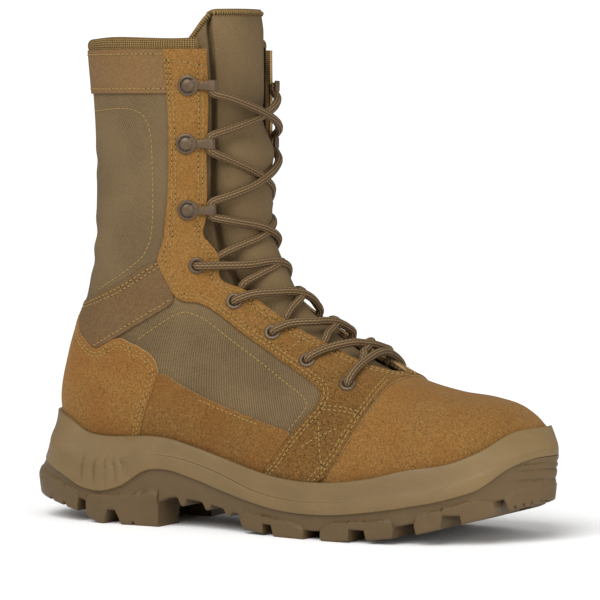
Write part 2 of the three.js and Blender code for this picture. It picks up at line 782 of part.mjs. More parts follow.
// The frame of a fitting: its origin on the upper's face, u level to the front, v up and w outwards.
function seat(place, side) {
  const { station, turn } = locate(place, side);
  const w = faceNormal(station, turn);
  const u = new THREE.Vector3(side * w.y, -side * w.x, 0).normalize();
  const v = u.clone().cross(w).multiplyScalar(side);
  return { station, sweep: Math.PI - Math.abs(turn), side, origin: facePoint(station, turn), u, v, w };
}
function seatPoint(frame, u, v, w) {
  const point = frame.origin.clone().addScaledVector(frame.u, u);
  return point.addScaledVector(frame.v, v).addScaledVector(frame.w, w);
}
function placed(made, frame) {
  const across = frame.w.clone().cross(frame.u);
  const matrix = new THREE.Matrix4().makeBasis(frame.u, across, frame.w).setPosition(frame.origin);
  return made.transform(matrix.toArray());
}
// A disc about a fitting's w axis, between two heights.
function disc(radius, low, high, sides) {
  const geometry = new THREE.CylinderGeometry(radius, radius, high - low, sides);
  geometry.rotateX(Math.PI / 2);
  geometry.translate(0, 0, (low + high) / 2);
  return solid(geometry);
}
const SIDES = { lateral: -1, medial: 1 };
const seatsOf = (places) => {
  const both = Object.entries(SIDES).map(([name, side]) => [name, places.map((place) => seat(place, side))]);
  return Object.fromEntries(both);
};
const eyeletSeats = seatsOf(EYELETS);
const hookSeats = seatsOf(HOOKS);

// Upper: a hollow wall, open at the collar, at the throat and underneath.
const throatOutline = [
  ...THROAT.map(sidePoint),
  sidePoint({ along: 0.8, rise: 0.9 }),
  sidePoint({ along: 0.8, rise: 2.6 }),
];
const aboveFloor = overFloor(0, COLLAR_HEIGHT);
const holes = union(
  [...eyeletSeats.lateral, ...eyeletSeats.medial].map((frame) => {
    const radius = (EYELET_BARREL / 2 + GAP) / Math.cos(Math.PI / HOLE_SIDES);
    return placed(disc(radius, -3 * WALL, 3 * WALL, HOLE_SIDES), frame);
  }),
);
function makeUpper() {
  return form(0).subtract(form(-WALL)).intersect(aboveFloor).subtract(prism(throatOutline)).subtract(holes);
}

// Overlays: panels of a second layer, cut from between two larger forms.
const layer = form(OVERLAY_FACE).subtract(form(GAP)).intersect(aboveFloor);
function panel(rows, side) {
  const outline = inset(rows.map(sidePoint), GAP / 2);
  const made = layer.intersect(prism(outline, side > 0 ? GAP : -FAR, side < 0 ? -GAP : FAR));
  return rows === OUTLINES.eyestay ? made.subtract(holes) : made;
}
const CUFF_LOW = 2 - CUFF_HEIGHT / SHAFT_RISE;
const OUTLINES = {
  eyestay: [...THROAT, ...FACING_FRONT, ...FACING_FOOT, ...QUARTER_TOP, ...STRAP_FRONT, ...FACING_REAR],
  ankle_strap: [...STRAP_FRONT, ...STRAP_TOP, ...STRAP_REAR, ...STRAP_LOW],
  mudguard: [
    COUNTER_FRONT[COUNTER_FRONT.length - 1],
    ...MUDGUARD_TOP,
    ...FACING_FOOT.slice(0, -1).reverse(),
    ...COUNTER_FOOT.slice().reverse(),
  ],
  counter: [
    ...COUNTER_TOP,
    STRAP_TOP[STRAP_TOP.length - 1],
    ...STRAP_REAR,
    STRAP_LOW[0],
    ...COUNTER_FRONT,
    ...COUNTER_FOOT,
    { along: -0.05, rise: -0.1 },
  ],
  cuff: [
    { along: -0.05, rise: CUFF_LOW },
    { along: FACING_REAR[0].along, rise: CUFF_LOW },
    FACING_REAR[1],
    { along: -0.05, rise: 2.6 },
  ],
};

// Collar roll: a padded edge round the top of the shaft, from one side of the throat to the other.
function makeCollarRoll() {
  const end = Math.abs(locate({ along: THROAT[0].along - 0.006, rise: 2 }, 1).turn);
  const rings = Array.from({ length: ROLL_STEPS + 1 }, (_, i) => {
    const turn = mix(-end, end, i / ROLL_STEPS);
    return ROLL_PROFILE.map(({ out, up }) => {
      const point = offsetPoint(1, turn, out * ROLL_THICKNESS);
      return point.setZ(COLLAR_HEIGHT + GAP + up * ROLL_HEIGHT);
    });
  });
  return loft(rings);
}

// Insole: a pad on the cup's floor, inside the upper.
function makeInsole() {
  return form(-WALL - GAP).intersect(overFloor(0, COLLAR_HEIGHT)).subtract(overFloor(-INSOLE_THICKNESS, FAR));
}

// Tongue: a padded strip that follows the throat from under the vamp to above the collar.
function makeTongue() {
  const tipHeight = COLLAR_HEIGHT + TONGUE_STAND;
  const top = solve(1, LAST_STATION, (station) => sectionEnds(sectionAt(station)).front.y - tipHeight);
  const rows = TONGUE_ROWS.map(({ section, sweep, depth }) => {
    const i = Math.floor(section);
    return { station: mix(STATIONS[i], STATIONS[i + 1], section - i), sweep, depth };
  });
  const last = rows[rows.length - 1];
  rows.push({ ...last, station: mix(1, top, 0.8) }, { ...last, sweep: last.sweep - 0.1, station: top });
  const rings = rows.map(({ station, sweep, depth }) => {
    const arc = (thickness) =>
      TONGUE_ARC.map((share) => {
        const wing = clamp((Math.abs(share) - PAD_SHARE) / 0.2, 0, 1);
        const under = mix(WALL + GAP, TONGUE_DEPTH + wing * TONGUE_PAD, depth);
        return offsetPoint(station, Math.PI + share * sweep, -under - thickness);
      });
    return [...arc(0), ...arc(TONGUE_THICKNESS).reverse()];
  });
  return loft(rings);
}

// Eyelets: a flange on the facing and a barrel through it and the wall.
function makeEyelet() {
  const bore = EYELET_BORE / 2;
  const low = -WALL - GAP;
  const profile = [
    [bore, low],
    [EYELET_BARREL / 2, low],
    [EYELET_BARREL / 2, SEAT],
    [EYELET_FLANGE / 2, SEAT],
    [bore, SEAT + FLANGE_THICKNESS],
    [bore, low],
  ].map(([x, y]) => new THREE.Vector2(x, y));
  const geometry = new THREE.LatheGeometry(profile, EYELET_SIDES);
  geometry.rotateX(Math.PI / 2);
  return solid(geometry);
}

// Hooks: a riveted plate whose arm reaches past the facing's edge and curls in beyond the lace.
function makeHook() {
  const seatHeight = SEAT + GAP;
  const plateTop = seatHeight + HOOK_PLATE;
  const radius = HOOK_DIAMETER / 2;
  const under = HOOK_LACE_HEIGHT + LACE_RADIUS + GAP;
  const inner = HOOK_LACE + LACE_RADIUS + GAP;
  const tip = HOOK_LACE_HEIGHT - LACE_RADIUS;
  const arm = [
    [0, seatHeight],
    [radius, seatHeight],
    [radius + 2, under],
    [inner - 0.6, under],
    [inner, under - 0.6],
    [inner, tip],
    [inner + HOOK_PLATE, tip],
    [inner + HOOK_PLATE, under + 0.2],
    [inner + 0.2, under + HOOK_PLATE],
    [radius + 1, under + HOOK_PLATE],
    [radius - 1, plateTop],
    [0, plateTop],
  ].map(([x, y]) => new THREE.Vector2(x, y));
  return prism(arm, -HOOK_WIDTH / 2, HOOK_WIDTH / 2)
    .add(disc(radius, seatHeight, plateTop, DISC_SIDES))
    .add(disc(RIVET_DIAMETER / 2, plateTop - 0.1, plateTop + RIVET_HEAD, DISC_SIDES));
}

// Laces: a bar over the two lowest eyelets, crossed bars between the eyelets, and two strands from the
// highest eyelets up over the hooks.
const ON_TONGUE = -TONGUE_DEPTH + 3 * GAP + LACE_RADIUS;
const OVER_FACING = SEAT + 2 * GAP + LACE_RADIUS;
const OVER_EYELET = OVER_FACING + FLANGE_THICKNESS;
const BESIDE_ARM = HOOK_WIDTH / 2 + LACE_DIAMETER;
const CROSSING_STEP = 1.1; // how much higher one lace lies where two cross
const STRAND_START = 0.12; // share of the climb to the lowest hook at which a strand starts
const EDGE_REACH = 0.08; // stations looked along for the edge
const EDGE_STEPS = 32;
// A lace's way over the tongue: share of the climb from one seat to the next, share of the angle between the
// facing's edges, how far it keeps from the edge in millimetres, and share of the rise from the tongue to
// the facing's top.
const OVER_TONGUE = table("climb across clear lift", [
  [0.1, -1, 2.8, 0.5],
  [0.24, -0.66, 0, 0.12],
  [0.37, -0.3, 0, 0],
  [0.5, 0, 0, 0],
  [0.63, 0.3, 0, 0],
  [0.77, 0.66, 0, 0.2],
  [0.88, 1, 1.5, 0.86],
]);

// A tube along a path whose points each have the way out from the upper there.
function tube(path) {
  const rings = path.map(({ point, out }, i) => {
    const ahead = path[Math.min(i + 1, path.length - 1)].point.clone();
    const way = ahead.sub(path[Math.max(i - 1, 0)].point).normalize();
    const across = way.clone().cross(out).normalize();
    const up = across.clone().cross(way);
    return Array.from({ length: LACE_SIDES }, (_, k) => {
      const angle = (2 * Math.PI * k) / LACE_SIDES;
      const spoke = across.clone().multiplyScalar(Math.cos(angle)).addScaledVector(up, Math.sin(angle));
      return point.clone().addScaledVector(spoke, LACE_RADIUS);
    });
  });
  return loft(rings);
}
function isInside(point, outline) {
  let inside = false;
  outline.forEach((a, i) => {
    const b = outline[(i + 1) % outline.length];
    const crosses = a.y > point.y !== b.y > point.y;
    if (crosses && point.x < ((b.x - a.x) * (point.y - a.y)) / (b.y - a.y) + a.x) inside = !inside;
  });
  return inside;
}
// The angle from the front at which a section passes the facing's edge.
function edgeSweep(station) {
  return solve(0, Math.PI / 2, (sweep) => {
    const { x, z } = facePoint(station, Math.PI - sweep);
    return isInside(new THREE.Vector2(x, z), throatOutline) ? -1 : 1;
  });
}
// Where the facing's edge is nearest to a seat.
function nearestEdge({ station, side, origin }) {
  const places = Array.from({ length: EDGE_STEPS + 1 }, (_, i) => {
    const at = station + mix(-EDGE_REACH, EDGE_REACH, i / EDGE_STEPS);
    const sweep = edgeSweep(at);
    return { station: at, sweep, point: facePoint(at, side * (Math.PI - sweep)) };
  });
  return places.reduce((best, next) => {
    return next.point.distanceTo(origin) < best.point.distanceTo(origin) ? next : best;
  });
}
function onFace(station, sweep, offset) {
  const turn = (Math.PI - Math.abs(sweep)) * (sweep < 0 ? -1 : 1);
  return { point: offsetPoint(station, turn, offset), out: faceNormal(station, turn) };
}
function onSeat(frame, u, v, w) {
  return { point: seatPoint(frame, u, v, w), out: frame.w };
}
function acrossTongue(from, to, rows, float = 0) {
  const [start, end] = [nearestEdge(from), nearestEdge(to)];
  const way = end.point.clone().setY(0).sub(start.point.clone().setY(0));
  return rows.map(({ climb, across, clear, lift }) => {
    const sweepAt = (station) => {
      const edge = edgeSweep(station);
      const at = facePoint(station, Math.PI - edge);
      const perRadian = at.distanceTo(facePoint(station, Math.PI - edge + TINY)) / TINY;
      return across * (edge - clear / perRadian);
    };
    const station = solve(start.station - 0.2, end.station + 0.1, (at) => {
      const reach = facePoint(at, Math.PI - Math.abs(sweepAt(at))).setY(0).sub(start.point.clone().setY(0));
      return reach.dot(way) / way.lengthSq() - climb;
    });
    return onFace(station, to.side * sweepAt(station), mix(ON_TONGUE + float, OVER_FACING, lift));
  });
}
// From the facing's edge to the middle of an eyelet
function overFacing(seat) {
  const { station, sweep } = nearestEdge(seat);
  const near = onFace(station, seat.side * sweep, OVER_FACING + GAP);
  const middle = onFace(mix(station, seat.station, 0.5), seat.side * mix(sweep, seat.sweep, 0.5), OVER_EYELET);
  return [near, middle, onSeat(seat, 0, 0, OVER_EYELET)];
}
function eyeletBar(from, to, float) {
  return tube([...acrossTongue(from, to, OVER_TONGUE, float), ...overFacing(to)]);
}
function hookStrand(eyelet, hooks, float) {
  const first = OVER_TONGUE.slice(0, -1).map((row) => ({ ...row, climb: mix(STRAND_START, 1, row.climb) }));
  const path = acrossTongue(eyelet, hooks[0], first, float);
  hooks.forEach((frame, i) => {
    const by = (v) => onSeat(frame, HOOK_LACE, v, HOOK_LACE_HEIGHT);
    path.push(by(-BESIDE_ARM), by(0));
    if (i === hooks.length - 1) return;
    path.push(by(BESIDE_ARM), ...acrossTongue(frame, hooks[i + 1], OVER_TONGUE.slice(1, -1), float));
  });
  return tube(path);
}
function makeLaces() {
  const { lateral, medial } = eyeletSeats;
  const middle = onFace(lateral[0].station, 0, OVER_FACING);
  const made = [tube([...overFacing(lateral[0]).reverse(), middle, ...overFacing(medial[0])])];
  for (let i = 0; i + 1 < EYELETS.length; i += 1) {
    const { float } = EYELETS[i];
    const under = eyeletBar(lateral[i], medial[i + 1], float);
    made.push(under.add(eyeletBar(medial[i], lateral[i + 1], float + CROSSING_STEP)));
  }
  const last = EYELETS.length - 1;
  const hooksFrom = (side) => HOOKS.map((_, i) => hookSeats[i % 2 === side ? "medial" : "lateral"][i]);
  const under = hookStrand(lateral[last], hooksFrom(0), 0);
  return [...made, under.add(hookStrand(medial[last], hooksFrom(1), CROSSING_STEP))];
}

// Materials, in the colours of the boot
const paint = (color, roughness, metalness = 0) => {
  return new THREE.MeshStandardMaterial({ color, roughness, metalness, flatShading: true });
};
const suede = paint(0xa07238, 0.95);
const fabric = paint(0x6b5a3e, 0.9);
const webbing = paint(0x7a5c3a, 0.85);
const mesh = paint(0x5a4326, 0.9);
const midsoleRubber = paint(0x8c764a, 0.7);
const outsoleRubber = paint(0x6e5b3d, 0.75);
const cord = paint(0x6d5236, 0.8);
const metal = paint(0x8a6c58, 0.4, 0.6);

const boot = new THREE.Group();
function add(name, made, material) {
  const { vertProperties, triVerts } = made.getMesh();
  const geometry = new THREE.BufferGeometry();
  geometry.setAttribute("position", new THREE.BufferAttribute(vertProperties, 3));
  geometry.setIndex(new THREE.BufferAttribute(triVerts, 1));
  geometry.computeVertexNormals();
  const part = new THREE.Mesh(geometry, material);
  part.name = name;
  boot.add(part);
}
add("outsole", makeOutsole(), outsoleRubber);
add("midsole", makeMidsole(), midsoleRubber);
add("insole", makeInsole(), mesh);
add("upper", makeUpper(), fabric);
add("tongue", makeTongue(), fabric);
add("counter", panel(OUTLINES.counter, 0), suede);
add("cuff", panel(OUTLINES.cuff, 0), webbing);
add("collar_roll", makeCollarRoll(), mesh);
makeLaces().forEach((lace, i) => add(`lace_${i + 1}`, lace, cord));
const eyelet = makeEyelet();
const hook = makeHook();
for (const [name, side] of Object.entries(SIDES)) {
  add(`eyestay_${name}`, panel(OUTLINES.eyestay, side), suede);
  add(`ankle_strap_${name}`, panel(OUTLINES.ankle_strap, side), webbing);
  add(`mudguard_${name}`, panel(OUTLINES.mudguard, side), suede);
  eyeletSeats[name].forEach((frame, i) => add(`eyelet_${name}_${i + 1}`, placed(eyelet, frame), metal));
  hookSeats[name].forEach((frame, i) => add(`hook_${name}_${i + 1}`, placed(hook, frame), metal));
}

export default boot;
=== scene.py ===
"""The looks of a tactical boot for the right foot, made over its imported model.

Shapes are worked out in millimetres, in the model's frame: +X to the toe, +Y to the inner side, +Z up.
Along is a share of the sole's length from the heel. A rise of 0 is the cup's floor, 1 the instep and 2
the collar. Heights on the sole are shares of its own height.
"""
import math
import bpy
import numpy as np
from mathutils import Matrix, Vector
from mathutils.geometry import delaunay_2d_cdt


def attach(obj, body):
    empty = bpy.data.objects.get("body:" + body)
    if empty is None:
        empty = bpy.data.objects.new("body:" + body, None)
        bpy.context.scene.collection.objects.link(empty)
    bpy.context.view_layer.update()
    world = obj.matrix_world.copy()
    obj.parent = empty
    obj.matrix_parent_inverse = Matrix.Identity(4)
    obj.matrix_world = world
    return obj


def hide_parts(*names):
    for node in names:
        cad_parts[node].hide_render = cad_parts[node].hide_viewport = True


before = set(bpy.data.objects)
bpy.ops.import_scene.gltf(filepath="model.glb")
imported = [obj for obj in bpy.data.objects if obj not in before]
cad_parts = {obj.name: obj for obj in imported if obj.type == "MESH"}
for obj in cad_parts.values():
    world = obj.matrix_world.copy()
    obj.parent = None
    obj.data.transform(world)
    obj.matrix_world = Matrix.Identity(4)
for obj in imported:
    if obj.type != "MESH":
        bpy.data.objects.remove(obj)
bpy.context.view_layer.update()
PI = math.pi
TO_METRES = 0.001

# Driving sizes, as in the model
SOLE_LENGTH = 312.0
HALF_WIDTH = 56.0
COLLAR_HEIGHT = 256.0
INSTEP_RISE = 122.0
HEEL_LIFT = 34.0
BALL_LIFT = 20.0
TOE_LIFT = 33.0
SOLE_HEIGHT = 60.0
SHAFT_RISE = COLLAR_HEIGHT - HEEL_LIFT - INSTEP_RISE
WALL = 2.4
OVERLAY_FACE = 1.6
RIM_OUT = 3.9
CUFF_HEIGHT = 24.0
TONGUE_STAND = 20.0

# Sewing
STITCH_PITCH = 2.9
STITCH_LENGTH = 2.2
STITCH_RADIUS = 0.36
HOLE_RADIUS = 0.37
ROW_GAP = 2.1
EDGE_MARGIN = 2.3

# The cup's floor: along, share of the heel's lift over the ball, and share of the toe's
FLOOR = [
    (0, 1, 0), (0.26, 1, 0), (0.44, 0.5, 0), (0.6, 0.05, 0),
    (0.7, 0, 0), (0.82, 0, 0.22), (0.92, 0, 0.6), (1, 0, 1),
]

# Sections of the last: back along and rise, front along and rise, outer, inner, shift, widest, and how
# square the front and back halves are
SECTIONS = [
    (0.962, 0.055, 0.963, 0.146, 0.07, 0.07, 0.2, 0.35, 2.0, 2.2),
    (0.95, 0, 0.956, 0.215, 0.29, 0.29, 0.18, 0.35, 2.2, 2.4),
    (0.93, 0, 0.938, 0.277, 0.48, 0.46, 0.16, 0.32, 2.3, 2.6),
    (0.9, 0, 0.91, 0.342, 0.64, 0.62, 0.12, 0.28, 2.4, 2.8),
    (0.85, 0, 0.865, 0.396, 0.79, 0.77, 0.09, 0.26, 2.4, 3.0),
    (0.78, 0, 0.8, 0.442, 0.88, 0.86, 0.04, 0.25, 2.3, 3.0),
    (0.7, 0, 0.728, 0.51, 0.89, 0.88, 0, 0.25, 2.15, 3.0),
    (0.61, 0, 0.655, 0.61, 0.86, 0.8, -0.02, 0.25, 2.05, 3.0),
    (0.51, 0, 0.585, 0.713, 0.79, 0.73, -0.02, 0.25, 2.0, 3.0),
    (0.41, 0, 0.527, 0.81, 0.71, 0.68, 0, 0.27, 2.0, 3.0),
    (0.3, 0, 0.487, 0.906, 0.68, 0.66, 0, 0.32, 2.0, 2.8),
    (0.19, 0, 0.463, 0.997, 0.68, 0.68, 0, 0.4, 2.0, 2.6),
    (0.09, 0.018, 0.45, 1.112, 0.68, 0.68, 0, 0.47, 2.1, 2.4),
    (0.055, 0.2, 0.444, 1.234, 0.7, 0.7, 0, 0.5, 2.2, 2.2),
    (0.07, 0.419, 0.442, 1.356, 0.73, 0.73, 0, 0.5, 2.2, 2.1),
    (0.101, 0.637, 0.442, 1.478, 0.75, 0.75, 0, 0.5, 2.3, 2.1),
    (0.122, 0.855, 0.443, 1.611, 0.77, 0.77, 0, 0.5, 2.3, 2.1),
    (0.128, 1.156, 0.444, 1.756, 0.77, 0.77, 0, 0.5, 2.3, 2.1),
    (0.125, 1.578, 0.444, 1.911, 0.77, 0.77, 0, 0.5, 2.3, 2.1),
    (0.114, 2.0, 0.443, 2.067, 0.79, 0.79, 0, 0.5, 2.3, 2.1),
    (0.105, 2.3, 0.442, 2.36, 0.81, 0.81, 0, 0.5, 2.3, 2.1),
]
TOE_ROW = 5
BALL_ROW = 9
HEEL_ROW = 15
COLLAR_ROW = 19

OUTER_OUTLINE = [
    (0, 0), (0.01, -0.286), (0.038, -0.518), (0.096, -0.696), (0.186, -0.759), (0.288, -0.759),
    (0.4, -0.786), (0.513, -0.875), (0.625, -0.973), (0.712, -1), (0.795, -0.946), (0.872, -0.786),
    (0.934, -0.518), (0.972, -0.2), (0.988, 0), (0.991, 0.1),
]
INNER_OUTLINE = [
    (0.989, 0.17), (0.975, 0.31), (0.936, 0.65), (0.872, 0.885), (0.795, 0.99), (0.721, 0.982),
    (0.625, 0.875), (0.513, 0.732), (0.4, 0.661), (0.288, 0.696), (0.186, 0.75), (0.096, 0.696),
    (0.038, 0.518), (0.01, 0.286),
]

# Lines of the sole's side: tread, bottom of the grooves, seam, step, rim
SIDE_LINES = [
    (0, 0.23, 0.36, 0.57, 0.75, 0.98),
    (0.05, 0.19, 0.32, 0.53, 0.72, 0.98),
    (0.11, 0.13, 0.27, 0.43, 0.64, 0.91),
    (0.15, 0.08, 0.2, 0.33, 0.54, 0.81),
    (0.185, 0, 0.16, 0.3, 0.51, 0.785),
    (0.23, 0, 0.16, 0.35, 0.56, 0.79),
    (0.285, 0, 0.16, 0.51, 0.65, 0.81),
    (0.32, 0, 0.26, 0.525, 0.65, 0.8),
    (0.375, 0.03, 0.26, 0.465, 0.605, 0.74),
    (0.44, 0.04, 0.2, 0.37, 0.51, 0.65),
    (0.5, 0.03, 0.13, 0.293, 0.405, 0.575),
    (0.545, 0, 0.1, 0.25, 0.36, 0.53),
    (0.6, 0, 0.08, 0.23, 0.338, 0.505),
    (0.66, 0, 0.09, 0.235, 0.345, 0.51),
    (0.73, 0.03, 0.12, 0.275, 0.385, 0.56),
    (0.8, 0.08, 0.18, 0.335, 0.44, 0.65),
    (0.865, 0.16, 0.28, 0.41, 0.52, 0.71),
    (0.91, 0.22, 0.35, 0.5, 0.62, 0.82),
    (0.95, 0.29, 0.4, 0.68, 0.74, 0.98),
    (0.975, 0.33, 0.43, 0.74, 0.79, 0.985),
    (1, 0.37, 0.46, 0.75, 0.81, 0.945),
]
TREAD, GROOVE, SEAM, STEP, RIM = range(5)

# Raised faces of the lugs, as outlines of along and height above the floor
LUG_FACES = [
    [(-0.05, -0.1), (0.138, -0.1), (0.144, 0.27), (0.13, 0.295), (0.06, 0.42), (0.03, 0.45), (-0.05, 0.46)],
    [
        (0.157, -0.1), (0.304, -0.1), (0.307, 0.29), (0.295, 0.315), (0.21, 0.262), (0.165, 0.266),
        (0.158, 0.24),
    ],
    [(0.48, -0.1), (0.605, -0.1), (0.606, 0.085), (0.596, 0.115), (0.571, 0.15), (0.487, 0.2), (0.47, 0.175)],
    [(0.641, -0.1), (0.775, -0.1), (0.781, 0.18), (0.768, 0.222), (0.656, 0.165), (0.639, 0.1)],
    [(0.816, -0.1), (0.93, -0.1), (0.934, 0.36), (0.924, 0.4), (0.904, 0.402), (0.825, 0.27), (0.811, 0.22)],
    [(0.95, -0.1), (1.05, -0.1), (1.05, 0.54), (0.965, 0.48), (0.943, 0.43)],
]

# Gaps between the lugs: rear and front at the tread, rear and front at the top
GAPS = [
    (0.138, 0.157, 0.143, 0.157), (0.304, 0.48, 0.306, 0.47), (0.605, 0.641, 0.606, 0.639),
    (0.775, 0.816, 0.78, 0.812), (0.93, 0.95, 0.933, 0.944),
]

# Notches in the lugs: the same four, and the top's height
NOTCHES = [
    (0.194, 0.23, 0.204, 0.219, 0.129), (0.52, 0.543, 0.522, 0.54, 0.103),
    (0.695, 0.729, 0.698, 0.726, 0.118), (0.855, 0.887, 0.858, 0.884, 0.265),
    (0.066, 0.077, 0.07, 0.073, 0.2), (0.102, 0.113, 0.106, 0.109, 0.17),
    (0.25, 0.258, 0.252, 0.256, 0.03), (0.953, 0.958, 0.955, 0.957, 0.335),
    (0.962, 0.967, 0.964, 0.966, 0.35), (0.97, 0.975, 0.972, 0.974, 0.36),
    (0.979, 0.984, 0.981, 0.983, 0.37),
]

# Lugs under the middle as along from and to, ribs under the arch as along and height, and ribs on the
# heel's side as along and height, low and high
CENTRE_LUGS = [(0.18, 0.26), (0.49, 0.56), (0.59, 0.66), (0.69, 0.75), (0.78, 0.84), (0.87, 0.92)]
CENTRE_HALF = 13.0
CHANNEL_EDGE = 17.5
ARCH_RIBS = [(0.352, 0.2), (0.402, 0.18), (0.446, 0.14)]
HEEL_RIBS = [
    (0.15, 0.155, 0.4, 0.6), (0.176, 0.178, 0.37, 0.57), (0.2, 0.2, 0.355, 0.58),
    (0.226, 0.216, 0.39, 0.58), (0.252, 0.232, 0.45, 0.59),
]
TOE_GROOVES = (0.545, 0.632, 0.69)
TOE_RIBS_FROM = 0.955

# Edges of the panels, seen from the side
THROAT = [
    (0.391, 2.6), (0.391, 1.41), (0.385, 1.15), (0.376, 1.05), (0.392, 1.0), (0.403, 0.95), (0.401, 0.88),
    (0.41, 0.845), (0.445, 0.83), (0.481, 0.77), (0.529, 0.71), (0.583, 0.66), (0.657, 0.58),
    (0.699, 0.54), (0.728, 0.515),
]
FACING_FRONT = [(0.72, 0.5), (0.716, 0.43), (0.703, 0.34), (0.67, 0.18), (0.62, 0.05), (0.59, -0.1)]
FACING_FOOT = [(0.48, -0.1), (0.522, 0.09), (0.58, 0.275), (0.62, 0.4)]
QUARTER_TOP = [(0.622, 0.46), (0.564, 0.53), (0.51, 0.58), (0.455, 0.64), (0.407, 0.71), (0.378, 0.745)]
STRAP_FRONT = [(0.335, 0.735), (0.308, 0.86), (0.302, 0.91)]
FACING_REAR = [(0.32, 1.02), (0.32, 2.6)]
STRAP_TOP = [(0.24, 0.8), (0.173, 0.72), (0.125, 0.69)]
STRAP_REAR = [(0.119, 0.64), (0.128, 0.57), (0.154, 0.52), (0.173, 0.48)]
STRAP_LOW = [(0.224, 0.55), (0.282, 0.64)]
COUNTER_FRONT = [(0.266, 0.51), (0.292, 0.48), (0.304, 0.42)]
COUNTER_FOOT = [(0.298, 0.36), (0.282, 0.26), (0.263, 0.14), (0.235, -0.1)]
COUNTER_HEIGHT = 125.5
MUDGUARD_TOP = [(0.385, 0.345), (0.446, 0.315), (0.513, 0.295)]

# Rows of stitches away from the panels' edges
SHAFT_ROW = [
    (0.15, 1.655), (0.172, 1.66), (0.268, 1.69), (0.298, 1.603), (0.303, 1.207), (0.293, 0.946),
    (0.244, 0.839), (0.178, 0.747),
]
QUARTER_ROW = [
    (0.261, 0.542), (0.342, 0.7), (0.369, 0.69), (0.39, 0.672), (0.434, 0.607), (0.528, 0.499),
    (0.6, 0.42), (0.597, 0.377), (0.574, 0.298), (0.56, 0.25),
]
SEAM_ROW = [(0.536, 0.585), (0.563, 0.666)]
CROSS_ROWS = [
    [(0.628, 0.34), (0.634, 0.27), (0.638, 0.2), (0.646, 0.13)],
    [(0.6, 0.22), (0.622, 0.26), (0.645, 0.29), (0.672, 0.32)],
]

EYELETS = [(0.66, 0.49), (0.58, 0.575), (0.506, 0.665), (0.432, 0.77), (0.368, 0.905)]
HOOKS = [(0.359, 1.18), (0.362, 1.53), (0.365, 1.84)]
SIDES = {"lateral": -1, "medial": 1}


# Surface of the last


def spline(knots, rows):
    """A smooth curve through rows of numbers, as a function of arrays."""
    knots = np.asarray(knots, float)
    rows = np.asarray(rows, float)
    rates = np.diff(rows, axis=0) / np.diff(knots)[:, None]
    share = ((knots[1:-1] - knots[:-2]) / (knots[2:] - knots[:-2]))[:, None]
    slopes = np.vstack([rates[:1], rates[:-1] + (rates[1:] - rates[:-1]) * share, rates[-1:]])

    def at(where):
        where = np.asarray(where, float)
        i = np.clip(np.searchsorted(knots, where, side="right") - 1, 0, len(knots) - 2)
        step = (knots[i + 1] - knots[i])[..., None]
        u = (where - knots[i])[..., None] / step
        ends = (1 + 2 * u) * (1 - u) ** 2 * rows[i] + u * u * (3 - 2 * u) * rows[i + 1]
        return ends + u * (1 - u) * step * ((1 - u) * slopes[i] - u * slopes[i + 1])

    return at


def smooth(low, high, value):
    """0 under low and 1 over high, with an even rise between."""
    t = np.clip((value - low) / (high - low), 0, 1)
    return t * t * (3 - 2 * t)


def unit(vectors):
    return vectors / (np.linalg.norm(vectors, axis=-1, keepdims=True) + 1e-12)


def ways_along(points):
    """The length of a line of points, up to each of them."""
    return np.concatenate([[0], np.cumsum(np.linalg.norm(np.diff(points, axis=0), axis=1))])


def fractions(points):
    ways = ways_along(points)
    return ways / ways[-1]


def read_off(marks, ways, rows):
    """Rows of numbers at these marks, between the rows known at the ways."""
    return np.stack([np.interp(marks, ways, column) for column in rows.T], -1)


def x_of(along):
    return (np.asarray(along, float) - 0.5) * SOLE_LENGTH


def along_of(x):
    return np.asarray(x, float) / SOLE_LENGTH + 0.5


floor_shares = spline([row[0] for row in FLOOR], [row[1:] for row in FLOOR])
side_shares = spline([row[0] for row in SIDE_LINES], [row[1:] for row in SIDE_LINES])


def floor_height(along):
    share = floor_shares(np.clip(along, 0, 1))
    return BALL_LIFT + share[..., 0] * (HEEL_LIFT - BALL_LIFT) + share[..., 1] * (TOE_LIFT - BALL_LIFT)


def height_of(along, rise):
    climb = np.minimum(rise, 1) * INSTEP_RISE + np.maximum(np.asarray(rise) - 1, 0) * SHAFT_RISE
    return floor_height(along) + climb


def side_height(along, line):
    return side_shares(np.clip(along, 0, 1))[..., line] * SOLE_HEIGHT


def side_points(rows):
    """Rows of along and rise as places of x and z."""
    rows = np.asarray(rows, float)
    return np.stack([x_of(rows[:, 0]), height_of(rows[:, 0], rows[:, 1])], 1)


def section_ends(row):
    drop = 3 * np.clip(1 - row[..., 1] / 0.055, 0, 1)
    back = np.stack([x_of(row[..., 0]), height_of(row[..., 0], row[..., 1]) - drop], -1)
    front = np.stack([x_of(row[..., 2]), height_of(row[..., 2], row[..., 3])], -1)
    return back, front


def section_stations():
    back, front = section_ends(np.asarray(SECTIONS, float))
    ways = ways_along(back + front)
    return ways / ways[COLLAR_ROW]


STATIONS = section_stations()
section_at = spline(STATIONS, SECTIONS)


def face(station, turn):
    """Points of the last's surface. A turn of 0 is the back or bottom, pi the front or top."""
    station, turn = np.broadcast_arrays(np.asarray(station, float), np.asarray(turn, float))
    row = section_at(station)
    back, front = section_ends(row)
    wrapped = np.where(np.abs(turn) > PI, turn - 2 * PI * np.sign(turn), turn)
    around = np.abs(wrapped)
    ahead = around > PI / 2
    tilt = np.abs(around - PI / 2)
    power = 2 / np.where(ahead, row[..., 8], row[..., 9])
    wide = np.maximum(np.cos(tilt), 0) ** power
    deep = np.sin(tilt) ** power
    share = (row[..., 7] + (ahead - row[..., 7]) * deep)[..., None]
    half = np.where(wrapped < 0, row[..., 4], row[..., 5]) * HALF_WIDTH
    y = row[..., 6] * HALF_WIDTH + np.sign(wrapped) * half * wide
    side = back + (front - back) * share
    return np.stack([side[..., 0], y, side[..., 1]], -1)


